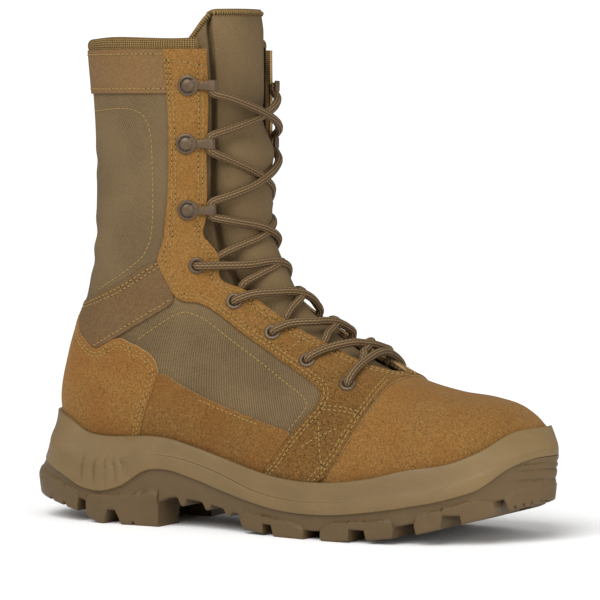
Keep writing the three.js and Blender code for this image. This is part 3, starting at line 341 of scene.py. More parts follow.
def normal(station, turn):
    station, turn = np.broadcast_arrays(np.asarray(station, float), np.asarray(turn, float))
    along = face(station + 0.004, turn) - face(station - 0.004, turn)
    around = face(station, turn + 0.02) - face(station, turn - 0.02)
    out = unit(np.cross(along, around))
    middle = (face(station, 0) + face(station, PI)) / 2
    inwards = np.sum(out * (face(station, turn) - middle), -1) < 0
    return np.where(inwards[..., None], -out, out)


def offset(station, turn, out):
    return face(station, turn) + normal(station, turn) * np.asarray(out, float)[..., None]


def bisect(low, high, measure):
    """Where a rising measure passes zero, for arrays."""
    for _ in range(36):
        middle = (low + high) / 2
        under = measure(middle) < 0
        low = np.where(under, middle, low)
        high = np.where(under, high, middle)
    return (low + high) / 2


def locate(points, side):
    """Stations and turns of the surface's points with these places of x and z in the side view."""
    points = np.atleast_2d(points)

    def reach(station):
        row = section_at(station)
        back, front = section_ends(row)
        return row, front - back, points - back

    def measure(station):
        _, way, at = reach(station)
        return at[:, 0] * way[:, 1] - at[:, 1] * way[:, 0]

    count = len(points)
    station = bisect(np.zeros(count), np.full(count, STATIONS[-1]), measure)
    row, way, at = reach(station)
    share = np.sum(at * way, 1) / np.sum(way * way, 1)
    ahead = share > row[:, 7]
    deep = (share - row[:, 7]) / np.where(ahead, 1 - row[:, 7], -row[:, 7])
    power = np.where(ahead, row[:, 8], row[:, 9]) / 2
    tilt = np.arcsin(np.minimum(np.maximum(deep, 0) ** power, 1))
    return np.stack([station, side * (PI / 2 + np.where(ahead, tilt, -tilt))], 1)


def at_height(turns, height):
    """Stations at which these turns reach a height, on the shaft."""
    low = np.full(len(turns), STATIONS[BALL_ROW])
    high = np.full(len(turns), STATIONS[-1])
    return bisect(low, high, lambda station: face(station, turns)[:, 2] - height)


# Lines on the surface, as rows of station and turn


def resample(line, step, closed=False):
    """A line's points again, evenly spaced on the surface."""
    line = np.asarray(line, float)
    if closed:
        line = np.vstack([line, line[:1]])
    fine = np.concatenate([np.linspace(a, b, 9)[:-1] for a, b in zip(line[:-1], line[1:])] + [line[-1:]])
    places = face(fine[:, 0], fine[:, 1])
    ways = ways_along(places)
    count = max(int(round(ways[-1] / step)), 2)
    made = read_off(np.linspace(0, ways[-1], count + 1), ways, fine)
    return made[:-1] if closed else made


def rounded(points, reach=5.0, rounds=2, closed=False):
    """A polyline with its corners cut round, each no further back than the reach."""
    points = np.asarray(points, float)
    for _ in range(rounds):
        ring = np.vstack([points, points[:1]]) if closed else points
        made = [] if closed else [ring[0]]
        for a, b in zip(ring[:-1], ring[1:]):
            length = np.linalg.norm(b - a)
            cut = min(0.25, reach / 2 / max(length, 1e-9))
            made += [a + (b - a) * cut, b - (b - a) * cut]
        if not closed:
            made.append(ring[-1])
        points = np.array(made)
        reach /= 2
    return points


def shifted(line, distance):
    """A line moved over the surface: to its left, seen from outside, where the distance is above 0."""
    line = np.asarray(line, float)
    station, turn = line.T
    way = unit(np.gradient(face(station, turn), axis=0))
    left = np.cross(normal(station, turn), way) * distance
    per_station = (face(station + 0.002, turn) - face(station - 0.002, turn)) / 0.004
    per_turn = (face(station, turn + 0.01) - face(station, turn - 0.01)) / 0.02
    a = np.sum(per_station ** 2, 1)
    b = np.sum(per_station * per_turn, 1)
    c = np.sum(per_turn ** 2, 1)
    p = np.sum(per_station * left, 1)
    q = np.sum(per_turn * left, 1)
    det = a * c - b * b + 1e-9
    return line + np.stack([(c * p - b * q) / det, (a * q - b * p) / det], 1)


def side_line(rows, side, reach=5.0, rounds=2):
    """A line on one side of the boot, from rows of along and rise."""
    return resample(locate(rounded(side_points(rows), reach, rounds), side), 1.0)


# Meshes


def make_piece(name, points, faces, material, nodes=(), uv=None, sharp=None, extra=()):
    """A piece from points in millimetres. Its material may be one, or several with a number for each face."""
    mesh = bpy.data.meshes.new(name)
    mesh.from_pydata((np.asarray(points, float) * TO_METRES).tolist(), [], [list(map(int, f)) for f in faces])
    if uv is not None:
        corner = np.zeros(len(mesh.loops), int)
        mesh.loops.foreach_get("vertex_index", corner)
        layer = mesh.uv_layers.new(name="surface")
        layer.data.foreach_set("uv", (np.asarray(uv, float)[corner] * 0.01).ravel())
    mesh.materials.append(material)
    for number, other in enumerate(extra, 1):
        mesh.materials.append(other[0])
        for i in other[1]:
            mesh.polygons[i].material_index = number
    mesh.shade_smooth()
    if sharp:
        mesh.set_sharp_from_angle(angle=math.radians(sharp))
    piece = bpy.data.objects.new(name, mesh)
    bpy.context.scene.collection.objects.link(piece)
    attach(piece, "root")
    if nodes:
        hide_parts(*nodes)
    return piece


def grid_faces(rows, columns, round_columns=False):
    """Quads between the points of a grid, row after row."""
    spans = columns if round_columns else columns - 1
    r, c = np.meshgrid(np.arange(rows - 1), np.arange(spans), indexing="ij")
    here, c = (r * columns).ravel(), c.ravel()
    above, right = here + columns, (c + 1) % columns
    return np.stack([here + c, here + right, above + right, above + c], 1)


def grid_places(along, across):
    """The cloth's place at each point of a grid, from those of its rows and its columns."""
    return np.stack(np.meshgrid(along, across, indexing="ij"), -1).reshape(-1, 2)


def numbered(faces, start):
    """Faces as tuples, with their points' numbers counted from a start."""
    return [tuple(int(i) + start for i in one) for one in faces]


def end_faces(rows, columns, corners):
    """The two ends of a tube, each with the first corners of its row."""
    last = (rows - 1) * columns
    return [tuple(range(corners))[::-1], tuple(range(last, last + corners))]


def inside(points, ring):
    """Which of these flat points lie inside a closed ring."""
    a = ring
    b = np.roll(ring, -1, axis=0)
    found = np.zeros(len(points), bool)
    for k in range(0, len(points), 4000):
        x, y = points[k:k + 4000, :1], points[k:k + 4000, 1:]
        crosses = (a[:, 1] > y) != (b[:, 1] > y)
        rise = np.where(b[:, 1] == a[:, 1], 1e-9, b[:, 1] - a[:, 1])
        hit = crosses & (x < (b[:, 0] - a[:, 0]) * (y - a[:, 1]) / rise + a[:, 0])
        found[k:k + 4000] = hit.sum(1) % 2 == 1
    return found


def nearest(points, others):
    """The distance from each point to the nearest of the others."""
    found = np.empty(len(points))
    for k in range(0, len(points), 2000):
        gaps = points[k:k + 2000, None, :] - others[None, :, :]
        found[k:k + 2000] = np.sqrt((gaps ** 2).sum(-1).min(1))
    return found


def mean_rates(station, turn):
    """Millimetres over the surface for one station and for one turn, on average."""
    along = face(station + 0.002, turn) - face(station - 0.002, turn)
    around = face(station, turn + 0.01) - face(station, turn - 0.01)
    per_station = np.linalg.norm(along, axis=1).mean() / 0.004
    per_turn = np.linalg.norm(around, axis=1).mean() / 0.02
    return np.array([per_station, per_turn])


CUT_ROUNDING = 0.5
PANEL_SPACING = 2.2
STITCH_DENT = 0.3


def make_panel(name, outline, material, node, base, thickness, rows=(), holes=(), edge=None):
    """A panel that lies on the surface inside an outline of stations and turns, with a rounded cut edge."""
    ring = resample(outline, 1.1, closed=True)
    scale = mean_rates(*ring.T)
    flat = ring * scale
    area = np.sum(flat[:, 0] * np.roll(flat[:, 1], -1) - np.roll(flat[:, 0], -1) * flat[:, 1])
    way = np.roll(flat, -1, axis=0) - np.roll(flat, 1, axis=0)
    inward = unit(np.stack([-way[:, 1], way[:, 0]], 1) * np.sign(area))
    points = [flat]
    depths = [np.zeros(len(flat))]
    for depth in (0.3 * CUT_ROUNDING, CUT_ROUNDING, 2.2 * CUT_ROUNDING):
        step = flat + inward * depth
        keep = inside(step, flat) & (nearest(step, flat) > 0.85 * depth)
        points.append(step[keep])
        depths.append(np.full(keep.sum(), depth))
    low, high = flat.min(0), flat.max(0)
    xs = np.arange(low[0], high[0], PANEL_SPACING)
    ys = np.arange(low[1], high[1], PANEL_SPACING * 0.866)
    grid = np.stack(np.meshgrid(xs, ys, indexing="ij"), -1)
    grid[:, 1::2, 0] += PANEL_SPACING / 2
    grid = grid.reshape(-1, 2)
    grid = grid[inside(grid, flat)]
    gap = nearest(grid, flat)
    keep = gap > 2.2 * CUT_ROUNDING + 0.5 * PANEL_SPACING
    points.append(grid[keep])
    depths.append(gap[keep])
    edges = [(i, (i + 1) % len(flat)) for i in range(len(flat))]
    hole_rings = []
    for centre, radius in holes:
        at = face(*centre)
        angle = np.linspace(0, 2 * PI, 20, endpoint=False)
        spot = np.asarray(centre) * scale
        local = np.array([
            np.linalg.norm(face(centre[0] + 0.002, centre[1]) - at) / 0.002,
            np.linalg.norm(face(centre[0], centre[1] + 0.01) - at) / 0.01,
        ])
        circle = spot + np.stack([np.cos(angle), np.sin(angle)], 1) * radius * scale / local
        free = (nearest(points[-1], circle) > 0.6 * PANEL_SPACING) & ~inside(points[-1], circle)
        points[-1] = points[-1][free]
        depths[-1] = depths[-1][free]
        hole_rings.append(circle)
    start = sum(len(p) for p in points)
    for circle in hole_rings:
        edges += [(start + i, start + (i + 1) % len(circle)) for i in range(len(circle))]
        points.append(circle)
        depths.append(np.full(len(circle), 0.4))
        start += len(circle)
    points = np.vstack(points)
    depths = np.concatenate(depths)
    made, _, triangles, origin, _, _ = delaunay_2d_cdt([Vector(p) for p in points], edges, [], 1, 1e-4)
    made = np.array([tuple(p) for p in made])
    source = np.array([o[0] if o else 0 for o in origin])
    triangles = np.array([t for t in triangles if len(t) == 3])
    middles = made[triangles].mean(1)
    for circle in hole_rings:
        keep = ~inside(middles, circle)
        triangles, middles = triangles[keep], middles[keep]
    station, turn = (made / scale).T
    curve = CUT_ROUNDING - np.minimum(depths[source], CUT_ROUNDING)
    rise = base + thickness - CUT_ROUNDING + np.sqrt(CUT_ROUNDING ** 2 - curve ** 2)
    places = face(station, turn)
    for row in rows:
        mark = face(*resample(row, 0.9).T)
        rise = rise - STITCH_DENT * np.exp(-(nearest(places, mark) / 0.75) ** 2)
    out = normal(station, turn)
    top = places + out * rise[:, None]
    links = dict.fromkeys(pair for a, b, c in triangles for pair in ((a, b), (b, c), (c, a)))
    border = [(a, b) for a, b in links if (b, a) not in links]
    rim = sorted({corner for pair in border for corner in pair})
    below = {corner: len(top) + i for i, corner in enumerate(rim)}
    low = places[rim] + out[rim] * (base - 0.25)
    faces = [tuple(t) for t in triangles] + [(a, below[a], below[b], b) for a, b in border]
    a, b, c = top[triangles.T]
    if np.sum(np.cross(b - a, c - a) * out[triangles[:, 0]]) < 0:
        faces = [f[::-1] for f in faces]
    cut = [(edge, range(len(triangles), len(faces)))] if edge else []
    points = np.vstack([top, low])
    return make_piece(name, points, faces, material, [node], np.vstack([made, made[rim]]), 50, cut)


def stitch_row(row, lift):
    """Points and faces of one row of stitches, and of dark discs at their ends: painted shade in the needle
    holes.
    """
    fine = resample(row, 0.25)
    places = face(*fine.T)
    outs = normal(*fine.T)
    ways = ways_along(places)
    count = int(ways[-1] / STITCH_PITCH)
    start = (np.arange(count) + 0.5 - STITCH_LENGTH / STITCH_PITCH / 2) * STITCH_PITCH
    marks = start[:, None] + np.array([0, 0.14, 0.5, 0.86, 1]) * STITCH_LENGTH
    rise = lift + np.array([-0.22, 0.12, 0.2, 0.12, -0.22])
    size = STITCH_RADIUS * np.array([0.45, 0.95, 1.1, 0.95, 0.45])
    out = read_off(marks, ways, outs)
    centre = read_off(marks, ways, places) + out * rise[:, None]
    across = np.cross(unit(np.gradient(centre, axis=1)), out)
    angle = np.linspace(0, 2 * PI, 6, endpoint=False)
    spoke = across[:, :, None] * np.cos(angle)[:, None] + out[:, :, None] * np.sin(angle)[:, None]
    points = (centre[:, :, None] + spoke * size[:, None, None]).reshape(-1, 3)
    one = grid_faces(5, 6, round_columns=True)
    faces = numbered(np.vstack([one + k * 30 for k in range(count)]), 0)
    faces += [tuple(range(k * 30, k * 30 + 6)) for k in range(count)]
    faces += [tuple(range(k * 30 + 29, k * 30 + 23, -1)) for k in range(count)]
    # Flat dark discs at the stitches' ends, painting the shade inside the needle holes
    marks = np.arange(count + 1) * STITCH_PITCH
    out = read_off(marks, ways, outs)
    centre = read_off(marks, ways, places) + out * (lift + 0.03)
    way = unit(read_off(marks + 0.3, ways, places) - read_off(marks - 0.3, ways, places))
    across = np.cross(way, out)
    angle = np.linspace(0, 2 * PI, 7, endpoint=False)
    ring = way[:, None] * np.cos(angle)[:, None] + across[:, None] * np.sin(angle)[:, None]
    dots = (centre[:, None] + ring * HOLE_RADIUS).reshape(-1, 3)
    discs = [tuple(range(k * 7, k * 7 + 7)) for k in range(len(marks))]
    return points, faces, dots, discs


def make_stitches(name, rows, lift):
    """Rows of stitches as one piece, with dark discs between them as painted shade in the needle holes."""
    points, faces, dark = [], [], []
    start = 0
    for row in rows:
        threads, thread_faces, dots, discs = stitch_row(row, lift)
        faces += numbered(thread_faces, start)
        start += len(threads)
        dark += range(len(faces), len(faces) + len(discs))
        faces += numbered(discs, start)
        start += len(dots)
        points += [threads, dots]
    return make_piece(name, np.vstack(points), faces, THREAD, extra=[(NEEDLE_HOLE_SHADE, dark)])


# Materials

COLOUR = "NodeSocketColor"
NUMBER = "NodeSocketFloat"
FINISH = {"Color": COLOUR, "Roughness": NUMBER, "Normal": "NodeSocketVector"}
GREY = (0.5, 0.5, 0.5, 1)


class Graph:
    """A shader tree that is filled node by node."""

    def __init__(self, tree):
        self.tree = tree

    def add(self, kind, settings=None, **inputs):
        """A node. An input's key is its name with _ for a space, or i and its number."""
        node = self.tree.nodes.new(kind)
        for key, value in (settings or {}).items():
            setattr(node, key, value)
        for key, value in inputs.items():
            by_number = key[0] == "i" and key[1:].isdigit()
            socket = node.inputs[int(key[1:]) if by_number else key.replace("_", " ")]
            if isinstance(value, bpy.types.NodeSocket):
                self.tree.links.new(value, socket)
            else:
                socket.default_value = value
        return node

    def math(self, operation, a, b=0.0):
        return self.add("ShaderNodeMath", {"operation": operation}, i0=a, i1=b).outputs[0]

    def plus(self, a, b):
        return self.math("ADD", a, b)

    def minus(self, a, b):
        return self.math("SUBTRACT", a, b)

    def times(self, a, b):
        return self.math("MULTIPLY", a, b)

    def mix(self, factor, a, b):
        return self.add("ShaderNodeMix", {"data_type": "RGBA"}, i0=factor, i6=a, i7=b).outputs[2]

    def scaled(self, vector, factor):
        node = self.add("ShaderNodeVectorMath", {"operation": "SCALE"}, Vector=vector, Scale=factor)
        return node.outputs[0]

    def parts(self, vector):
        return self.add("ShaderNodeSeparateXYZ", Vector=vector).outputs

    def noise(self, where, scale, detail=2.0, roughness=0.5):
        node = self.add("ShaderNodeTexNoise", Vector=where, Scale=scale, Detail=detail, Roughness=roughness)
        return node.outputs[0]

    def spread(self, value, low, high, to_low, to_high):
        node = self.add("ShaderNodeMapRange", Value=value, From_Min=low, From_Max=high, To_Min=to_low,
                        To_Max=to_high)
        return node.outputs[0]

    def uneven(self, tone, value, low, high, amount):
        """A tone made darker or lighter by up to an amount, with a value between low and high."""
        return self.plus(tone, self.spread(value, low, high, -amount, amount))

    def painted_shade_below(self, tone, place, high, low, amount):
        """A tone made darker by an amount from one height down to another: painted shade low on the boot."""
        share = self.spread(self.parts(place)[2], high, low, 0.0, 1.0)
        return self.minus(tone, self.times(share, amount))

    def finish(self, colour, factor, roughness, strength, distance, height):
        """An effect's outputs: a colour times a factor, a roughness, and a bump from a height."""
        bump = self.add("ShaderNodeBump", Strength=strength, Distance=distance, Height=height)
        return {"Color": self.scaled(colour, factor), "Roughness": roughness, "Normal": bump.outputs[0]}


def make_effect(name, build, inputs):
    """A shared shader group, from its inputs' names and first values."""
    tree = bpy.data.node_groups.new(name, "ShaderNodeTree")
    for label, value in inputs.items():
        kind = COLOUR if isinstance(value, tuple) else NUMBER
        tree.interface.new_socket(label, in_out="INPUT", socket_type=kind).default_value = value
    for label, kind in FINISH.items():
        tree.interface.new_socket(label, in_out="OUTPUT", socket_type=kind)
    graph = Graph(tree)
    made = build(graph, graph.add("NodeGroupInput").outputs)
    graph.add("NodeGroupOutput", **{"i%d" % i: made[label] for i, label in enumerate(FINISH)})
    return tree


def millimetres(graph):
    """The place on the boot, in millimetres."""
    return graph.scaled(graph.add("ShaderNodeTexCoord").outputs["Object"], 1000.0)


def cloth_place(graph):
    """The place along and across the cloth, in millimetres."""
    return graph.scaled(graph.add("ShaderNodeUVMap", {"uv_map": "surface"}).outputs[0], 100.0)


def build_suede(graph, given):
    """A fine nap with broad patches, some of them warmer, and painted shade that makes it darker towards the
    bottom.
    """
    place = millimetres(graph)
    fine = graph.noise(place, 1.35, 2.0, 0.6)
    speck = graph.noise(place, 0.65, 2.0, 0.6)
    patch = graph.noise(place, 0.045, 3.0, 0.55)
    broad = graph.noise(place, 0.012, 2.0, 0.5)
    tone = graph.times(graph.spread(fine, 0.3, 0.7, -1.0, 1.0), given["Grain"])
    tone = graph.uneven(tone, speck, 0.3, 0.7, 0.13)
    tone = graph.uneven(tone, patch, 0.35, 0.65, 0.07)
    tone = graph.uneven(tone, broad, 0.35, 0.65, 0.06)
    # Painted shade: the nap is made darker from this height down, where less light falls
    top = given["Shaded below"]
    tone = graph.painted_shade_below(tone, place, top, graph.minus(top, 55.0), given["Shade"])
    warm = graph.mix(graph.spread(patch, 0.4, 0.62, 0.0, 1.0), given["Color"], given["Warm color"])
    roughness = graph.spread(fine, 0.3, 0.7, 0.86, 1.0)
    return graph.finish(warm, graph.plus(tone, 1.0), roughness, 0.55, 0.0004, fine)


def build_twill(graph, given):
    """Diagonal ribs crossed by finer threads, with painted shade that makes the cloth darker towards the
    bottom.
    """
    u, v, _ = graph.parts(cloth_place(graph))
    turn = graph.math("DIVIDE", 2 * PI, given["Pitch"])
    rib = graph.math("SINE", graph.times(graph.plus(graph.times(u, 0.95), v), turn))
    cross = graph.math("SINE", graph.times(graph.times(u, 1.6), turn))
    weave = graph.plus(graph.times(rib, 0.7), graph.times(cross, 0.3))
    place = millimetres(graph)
    fleck = graph.noise(place, 0.8, 2.0, 0.6)
    patch = graph.noise(place, 0.03, 3.0, 0.5)
    tone = graph.times(weave, given["Depth"])
    tone = graph.uneven(tone, fleck, 0.3, 0.7, 0.09)
    tone = graph.uneven(tone, patch, 0.35, 0.65, 0.1)
    # Painted shade: the cloth is made darker from 125 mm down to 100 mm
    tone = graph.painted_shade_below(tone, place, 125.0, 100.0, given["Shade"])
    roughness = graph.spread(weave, -1.0, 1.0, 0.95, 0.8)
    return graph.finish(given["Color"], graph.plus(tone, 1.0), roughness, 0.5, 0.00025, weave)


def build_knit(graph, given):
    """A lattice of small open holes."""
    u, v, _ = graph.parts(cloth_place(graph))
    turn = graph.math("DIVIDE", 2 * PI, given["Pitch"])
    one = graph.math("SINE", graph.times(graph.plus(u, v), turn))
    two = graph.math("SINE", graph.times(graph.minus(u, v), turn))
    hole = graph.spread(graph.times(one, two), 0.0, 0.55, 0.0, 1.0)
    thread = graph.minus(1.0, hole)
    fleck = graph.spread(graph.noise(millimetres(graph), 0.7), 0.3, 0.7, 0.85, 1.15)
    colour = graph.mix(hole, given["Color"], given["Hole color"])
    return graph.finish(colour, fleck, graph.spread(thread, 0.0, 1.0, 1.0, 0.8), 0.7, 0.0005, thread)


def build_rubber(graph, given):
    """Moulded rubber with level scuffs, and painted light that makes it lighter towards the toe."""
    place = millimetres(graph)
    fine = graph.noise(place, 1.4, 2.0, 0.6)
    patch = graph.noise(place, 0.05, 3.0, 0.55)
    drawn_out = graph.add("ShaderNodeVectorMath", {"operation": "MULTIPLY"}, i0=place, i1=(0.05, 0.05, 0.4))
    scuff = graph.noise(drawn_out.outputs[0], 1.0, 3.0)
    tone = graph.times(graph.spread(fine, 0.3, 0.7, -1.0, 1.0), given["Grain"])
    tone = graph.uneven(tone, patch, 0.35, 0.65, 0.06)
    tone = graph.plus(tone, graph.spread(scuff, 0.62, 0.75, 0.0, 0.1))
    # Painted light: the rubber is made lighter towards the toe, as if lit from the front
    tone = graph.plus(tone, graph.spread(graph.parts(place)[0], 95.0, 145.0, 0.0, 0.27))
    roughness = graph.spread(scuff, 0.3, 0.7, 0.5, 0.68)
    return graph.finish(given["Color"], graph.plus(tone, 1.0), roughness, 0.25, 0.00015, fine)


def build_braid(graph, given):
    """A round braid: strands crossing round the cord, with light threads that run along it."""
    u, v, _ = graph.parts(cloth_place(graph))
    along = graph.times(u, 2 * PI / 2.2)
    around = graph.times(v, 2 * PI)
    one = graph.math("SINE", graph.plus(along, graph.times(around, 5.0)))
    two = graph.math("SINE", graph.minus(along, graph.times(around, 5.0)))
    strand = graph.math("MAXIMUM", one, two)
    wave = graph.times(graph.math("SINE", along), 0.2)
    lines = graph.math("SINE", graph.plus(graph.times(around, 9.0), wave))
    broken = graph.times(graph.spread(lines, 0.2, 0.9, 0.0, 1.0), graph.spread(one, -0.9, 0.2, 0.85, 1.0))
    colour = graph.mix(broken, given["Color"], given["Thread color"])
    tone = graph.spread(strand, -0.2, 1.0, 0.8, 1.08)
    return graph.finish(colour, tone, graph.spread(strand, -0.2, 1.0, 0.95, 0.7), 0.6, 0.0003, strand)


def build_enamel(graph, given):
    """Satin enamel, a little worn."""
    place = millimetres(graph)
    wear = graph.noise(place, 0.5, 3.0, 0.6)
    fine = graph.noise(place, 2.0, 2.0, 0.5)
    tone = graph.uneven(1.0, wear, 0.35, 0.65, 0.1)
    return graph.finish(given["Color"], tone, graph.spread(wear, 0.3, 0.7, 0.36, 0.5), 0.12, 0.0001, fine)


# Shaded below and Shade set the painted shade that darkens the suede and the cloth towards the bottom
EFFECTS = {
    "suede": make_effect("suede_nap", build_suede, {
        "Color": GREY, "Warm color": GREY, "Grain": 0.2, "Shaded below": 75.0, "Shade": 0.14,
    }),
    "twill": make_effect("twill_weave", build_twill, {
        "Color": GREY, "Pitch": 1.2, "Depth": 0.14, "Shade": 0.0,
    }),
    "knit": make_effect("open_knit", build_knit, {"Color": GREY, "Hole color": GREY, "Pitch": 2.6}),
    "rubber": make_effect("moulded_rubber", build_rubber, {"Color": GREY, "Grain": 0.04}),
    "braid": make_effect("round_braid", build_braid, {"Color": GREY, "Thread color": GREY}),
    "enamel": make_effect("worn_enamel", build_enamel, {"Color": GREY}),
}


def make_material(name, effect, specular, sheen=0.0, metallic=0.0, **values):
    """A material from a shared effect. The values are the effect's named inputs."""
    material = bpy.data.materials.new(name)
    material.use_nodes = True
    tree = material.node_tree
    shader = tree.nodes["Principled BSDF"]
    group = tree.nodes.new("ShaderNodeGroup")
    group.node_tree = EFFECTS[effect]
    for key, value in values.items():
        group.inputs[key.replace("_", " ")].default_value = (*value, 1) if isinstance(value, tuple) else value
    for label, socket in (("Color", "Base Color"), ("Roughness", "Roughness"), ("Normal", "Normal")):
        tree.links.new(group.outputs[label], shader.inputs[socket])
    shader.inputs["Sheen Weight"].default_value = sheen
    shader.inputs["Sheen Roughness"].default_value = 0.5
    shader.inputs["Sheen Tint"].default_value = (1, 0.72, 0.4, 1)
    shader.inputs["Metallic"].default_value = metallic
    shader.inputs["Specular IOR Level"].default_value = specular
    return material


HOLE_BROWN = (0.03, 0.018, 0.008)
# The suedes keep the effect's painted shade below 75 mm unless they set their own
SUEDE = make_material(
    "suede", "suede", 0.1, 0.1, Color=(0.191, 0.096, 0.027), Warm_color=(0.164, 0.076, 0.019), Grain=0.38)
# The eyestays' suede, with stronger painted shade that darkens it below 125 mm
EYESTAY_SUEDE = make_material(
    "eyestay_suede", "suede", 0.1, 0.1, Color=(0.21, 0.105, 0.029), Warm_color=(0.181, 0.086, 0.021),
    Grain=0.36, Shaded_below=125.0, Shade=0.42)
COUNTER_SUEDE = make_material(
    "counter_suede", "suede", 0.1, 0.1, Color=(0.205, 0.1, 0.026), Warm_color=(0.172, 0.077, 0.019),
    Grain=0.36)
# The counter's suede made darker for the low mudguard, as painted shade
MUDGUARD_SUEDE = make_material(
    "mudguard_suede", "suede", 0.1, 0.1, Color=(0.17, 0.082, 0.022), Warm_color=(0.143, 0.064, 0.016),
    Grain=0.38)
# The quarters' cloth, with painted shade that darkens it below 125 mm
TWILL = make_material(
    "fabric_twill", "twill", 0.15, Color=(0.136, 0.091, 0.044), Pitch=1.5, Depth=0.27, Shade=0.17)
TONGUE_TWILL = make_material(
    "tongue_twill", "twill", 0.15, Color=(0.142, 0.094, 0.044), Pitch=1.5, Depth=0.25, Shade=0)
STRAP = make_material(
    "strap_nubuck", "suede", 0.15, Color=(0.127, 0.075, 0.034), Warm_color=(0.115, 0.066, 0.028), Grain=0.16)
BAND = make_material(
    "cuff_nubuck", "suede", 0.15, Color=(0.168, 0.097, 0.041), Warm_color=(0.151, 0.085, 0.034), Grain=0.14)
KNIT = make_material(
    "collar_knit", "knit", 0.1, Color=(0.2, 0.125, 0.045), Hole_color=HOLE_BROWN, Pitch=2.6)
LINING = make_material(
    "lining_knit", "knit", 0.1, Color=(0.14, 0.085, 0.035), Hole_color=HOLE_BROWN, Pitch=2.6)
MIDSOLE = make_material("midsole_rubber", "rubber", 0.3, Color=(0.138, 0.089, 0.036), Grain=0.06)
OUTSOLE = make_material("outsole_rubber", "rubber", 0.3, Color=(0.088, 0.055, 0.022), Grain=0.05)
CORD = make_material(
    "braided_cord", "braid", 0.2, Color=(0.085, 0.049, 0.022), Thread_color=(0.225, 0.148, 0.07))
ENAMEL = make_material("hook_enamel", "enamel", 0.5, metallic=0.25, Color=(0.086, 0.051, 0.023))
THREAD = make_material("thread", "braid", 0.2, Color=(0.3, 0.195, 0.065), Thread_color=(0.43, 0.295, 0.112))
# Near-black discs laid on the suede as painted shade in the needle holes
NEEDLE_HOLE_SHADE = make_material(
    "needle_hole_painted_shade", "suede", 0.0, Color=(0.035, 0.016, 0.005), Warm_color=(0.025, 0.012, 0.004), Grain=0.1)
DARK_ENAMEL = make_material("hook_shadow_ring", "enamel", 0.5, metallic=0.2, Color=(0.035, 0.022, 0.014))
CUT_EDGE = make_material(
    "cut_edge", "suede", 0.1, Color=(0.4, 0.26, 0.12), Warm_color=(0.34, 0.22, 0.1), Grain=0.1)


# Sole


def half_outline():
    """The sole's outline as two dense lines from the heel to the toe."""
    loop = OUTER_OUTLINE + INNER_OUTLINE
    rows = [loop[-1]] + loop + [loop[0], loop[1]]
    points = np.array([(x_of(a), w * HALF_WIDTH) for a, w in rows])
    knots = ways_along(points)
    line = spline(knots, points)
    toe = len(OUTER_OUTLINE)
    outer = line(np.linspace(knots[1], knots[toe], 1600))
    inner = line(np.linspace(knots[toe], knots[len(loop) + 1], 1600))[::-1]
    return outer, inner


def rim_line(side):
    """The midsole's top edge from the heel to the toe, as stations and turns."""
    def above(station, turn):
        point = offset(station, turn, RIM_OUT)
        return point[..., 2] - side_height(along_of(point[..., 0]), RIM)

    toe = bisect(np.zeros(1), STATIONS[TOE_ROW:TOE_ROW + 1], lambda s: above(s, PI))[0]
    ball, heel = STATIONS[[BALL_ROW]], STATIONS[[HEEL_ROW]]
    heel = bisect(ball, heel, lambda s: above(s, 0))[0]
    share = (1 - np.cos(np.linspace(0, PI, 241)[1:-1])) / 2
    station = heel + (toe - heel) * share
    turn = bisect(np.zeros(239), np.full(239, PI), lambda angle: above(station, side * angle))
    station = np.concatenate([[heel], station, [toe]])
    turn = side * np.concatenate([[0], turn, [PI]])
    return station, turn


def flat_normals(points):
    way = np.gradient(points, axis=0)
    return unit(np.stack([way[:, 1], -way[:, 0]], 1))


class SoleSide:
    """One side of the sole from the heel to the toe: its outline, the way out from it, and its rim."""

    def __init__(self, line, side, columns):
        share = fractions(line)
        out = flat_normals(line) * (1 if side < 0 else -1)
        out[0] = (-1, 0)
        out[-1] = (1, 0)
        self.share = np.interp(columns, np.maximum.accumulate(line[:, 0]), share)
        self.plan = read_off(self.share, share, line)
        self.out = unit(read_off(self.share, share, out))
        station, turn = rim_line(side)
        rim_share = fractions(offset(station, turn, RIM_OUT))
        station = np.interp(self.share, rim_share, station)
        turn = np.interp(self.share, rim_share, turn)
        self.along = along_of(self.plan[:, 0])
        self.rim = offset(station, turn, RIM_OUT - 1.5 * smooth(0.92, 0.97, self.along))
        self.lip = offset(station, turn, 1.0)

    def at(self, inset, height):
        xy = self.plan - self.out * np.broadcast_to(inset, self.along.shape)[:, None]
        return np.column_stack([xy, np.broadcast_to(height, self.along.shape)])


OUTER_LINE, INNER_LINE = half_outline()


COLUMN_STEP = 1.3
CLOSEST_COLUMNS = 0.12


def sole_columns():
    """Places of x for the sole's columns: even along the outline, and closer at each lug's edges."""
    share = fractions(OUTER_LINE)
    x = np.maximum.accumulate(OUTER_LINE[:, 0])
    length = ways_along(OUTER_LINE)[-1]
    edges = [edge for row in GAPS + NOTCHES + CENTRE_LUGS for edge in row[:4]]
    marks = x_of(np.array(edges))
    near = np.interp(np.concatenate([marks - 0.3, marks, marks + 0.3]), x, share)
    shares = np.unique(np.concatenate([np.linspace(0, 1, int(length / COLUMN_STEP)), near]))
    keep = np.concatenate([[True], np.diff(shares) * length > CLOSEST_COLUMNS])
    keep[-2:] = (False, True)
    return np.interp(shares[keep], share, x)


COLUMNS = sole_columns()
OUTER = SoleSide(OUTER_LINE, -1, COLUMNS)
INNER = SoleSide(INNER_LINE, 1, COLUMNS)


STEEPEST = 0.0012
LUG_SLOPE = 0.003
ARCH_RIB_WIDTH = 0.0058


def tread_height(along):
    return np.maximum(side_height(along, TREAD), 0)


def flat_topped(along, rear, front, rear_top, front_top):
    """1 between the two tops and 0 outside the rear and front, with straight slopes."""
    return np.minimum(
        np.clip((along - rear) / max(rear_top - rear, STEEPEST), 0, 1),
        np.clip((front - along) / max(front - front_top, STEEPEST), 0, 1),
    )


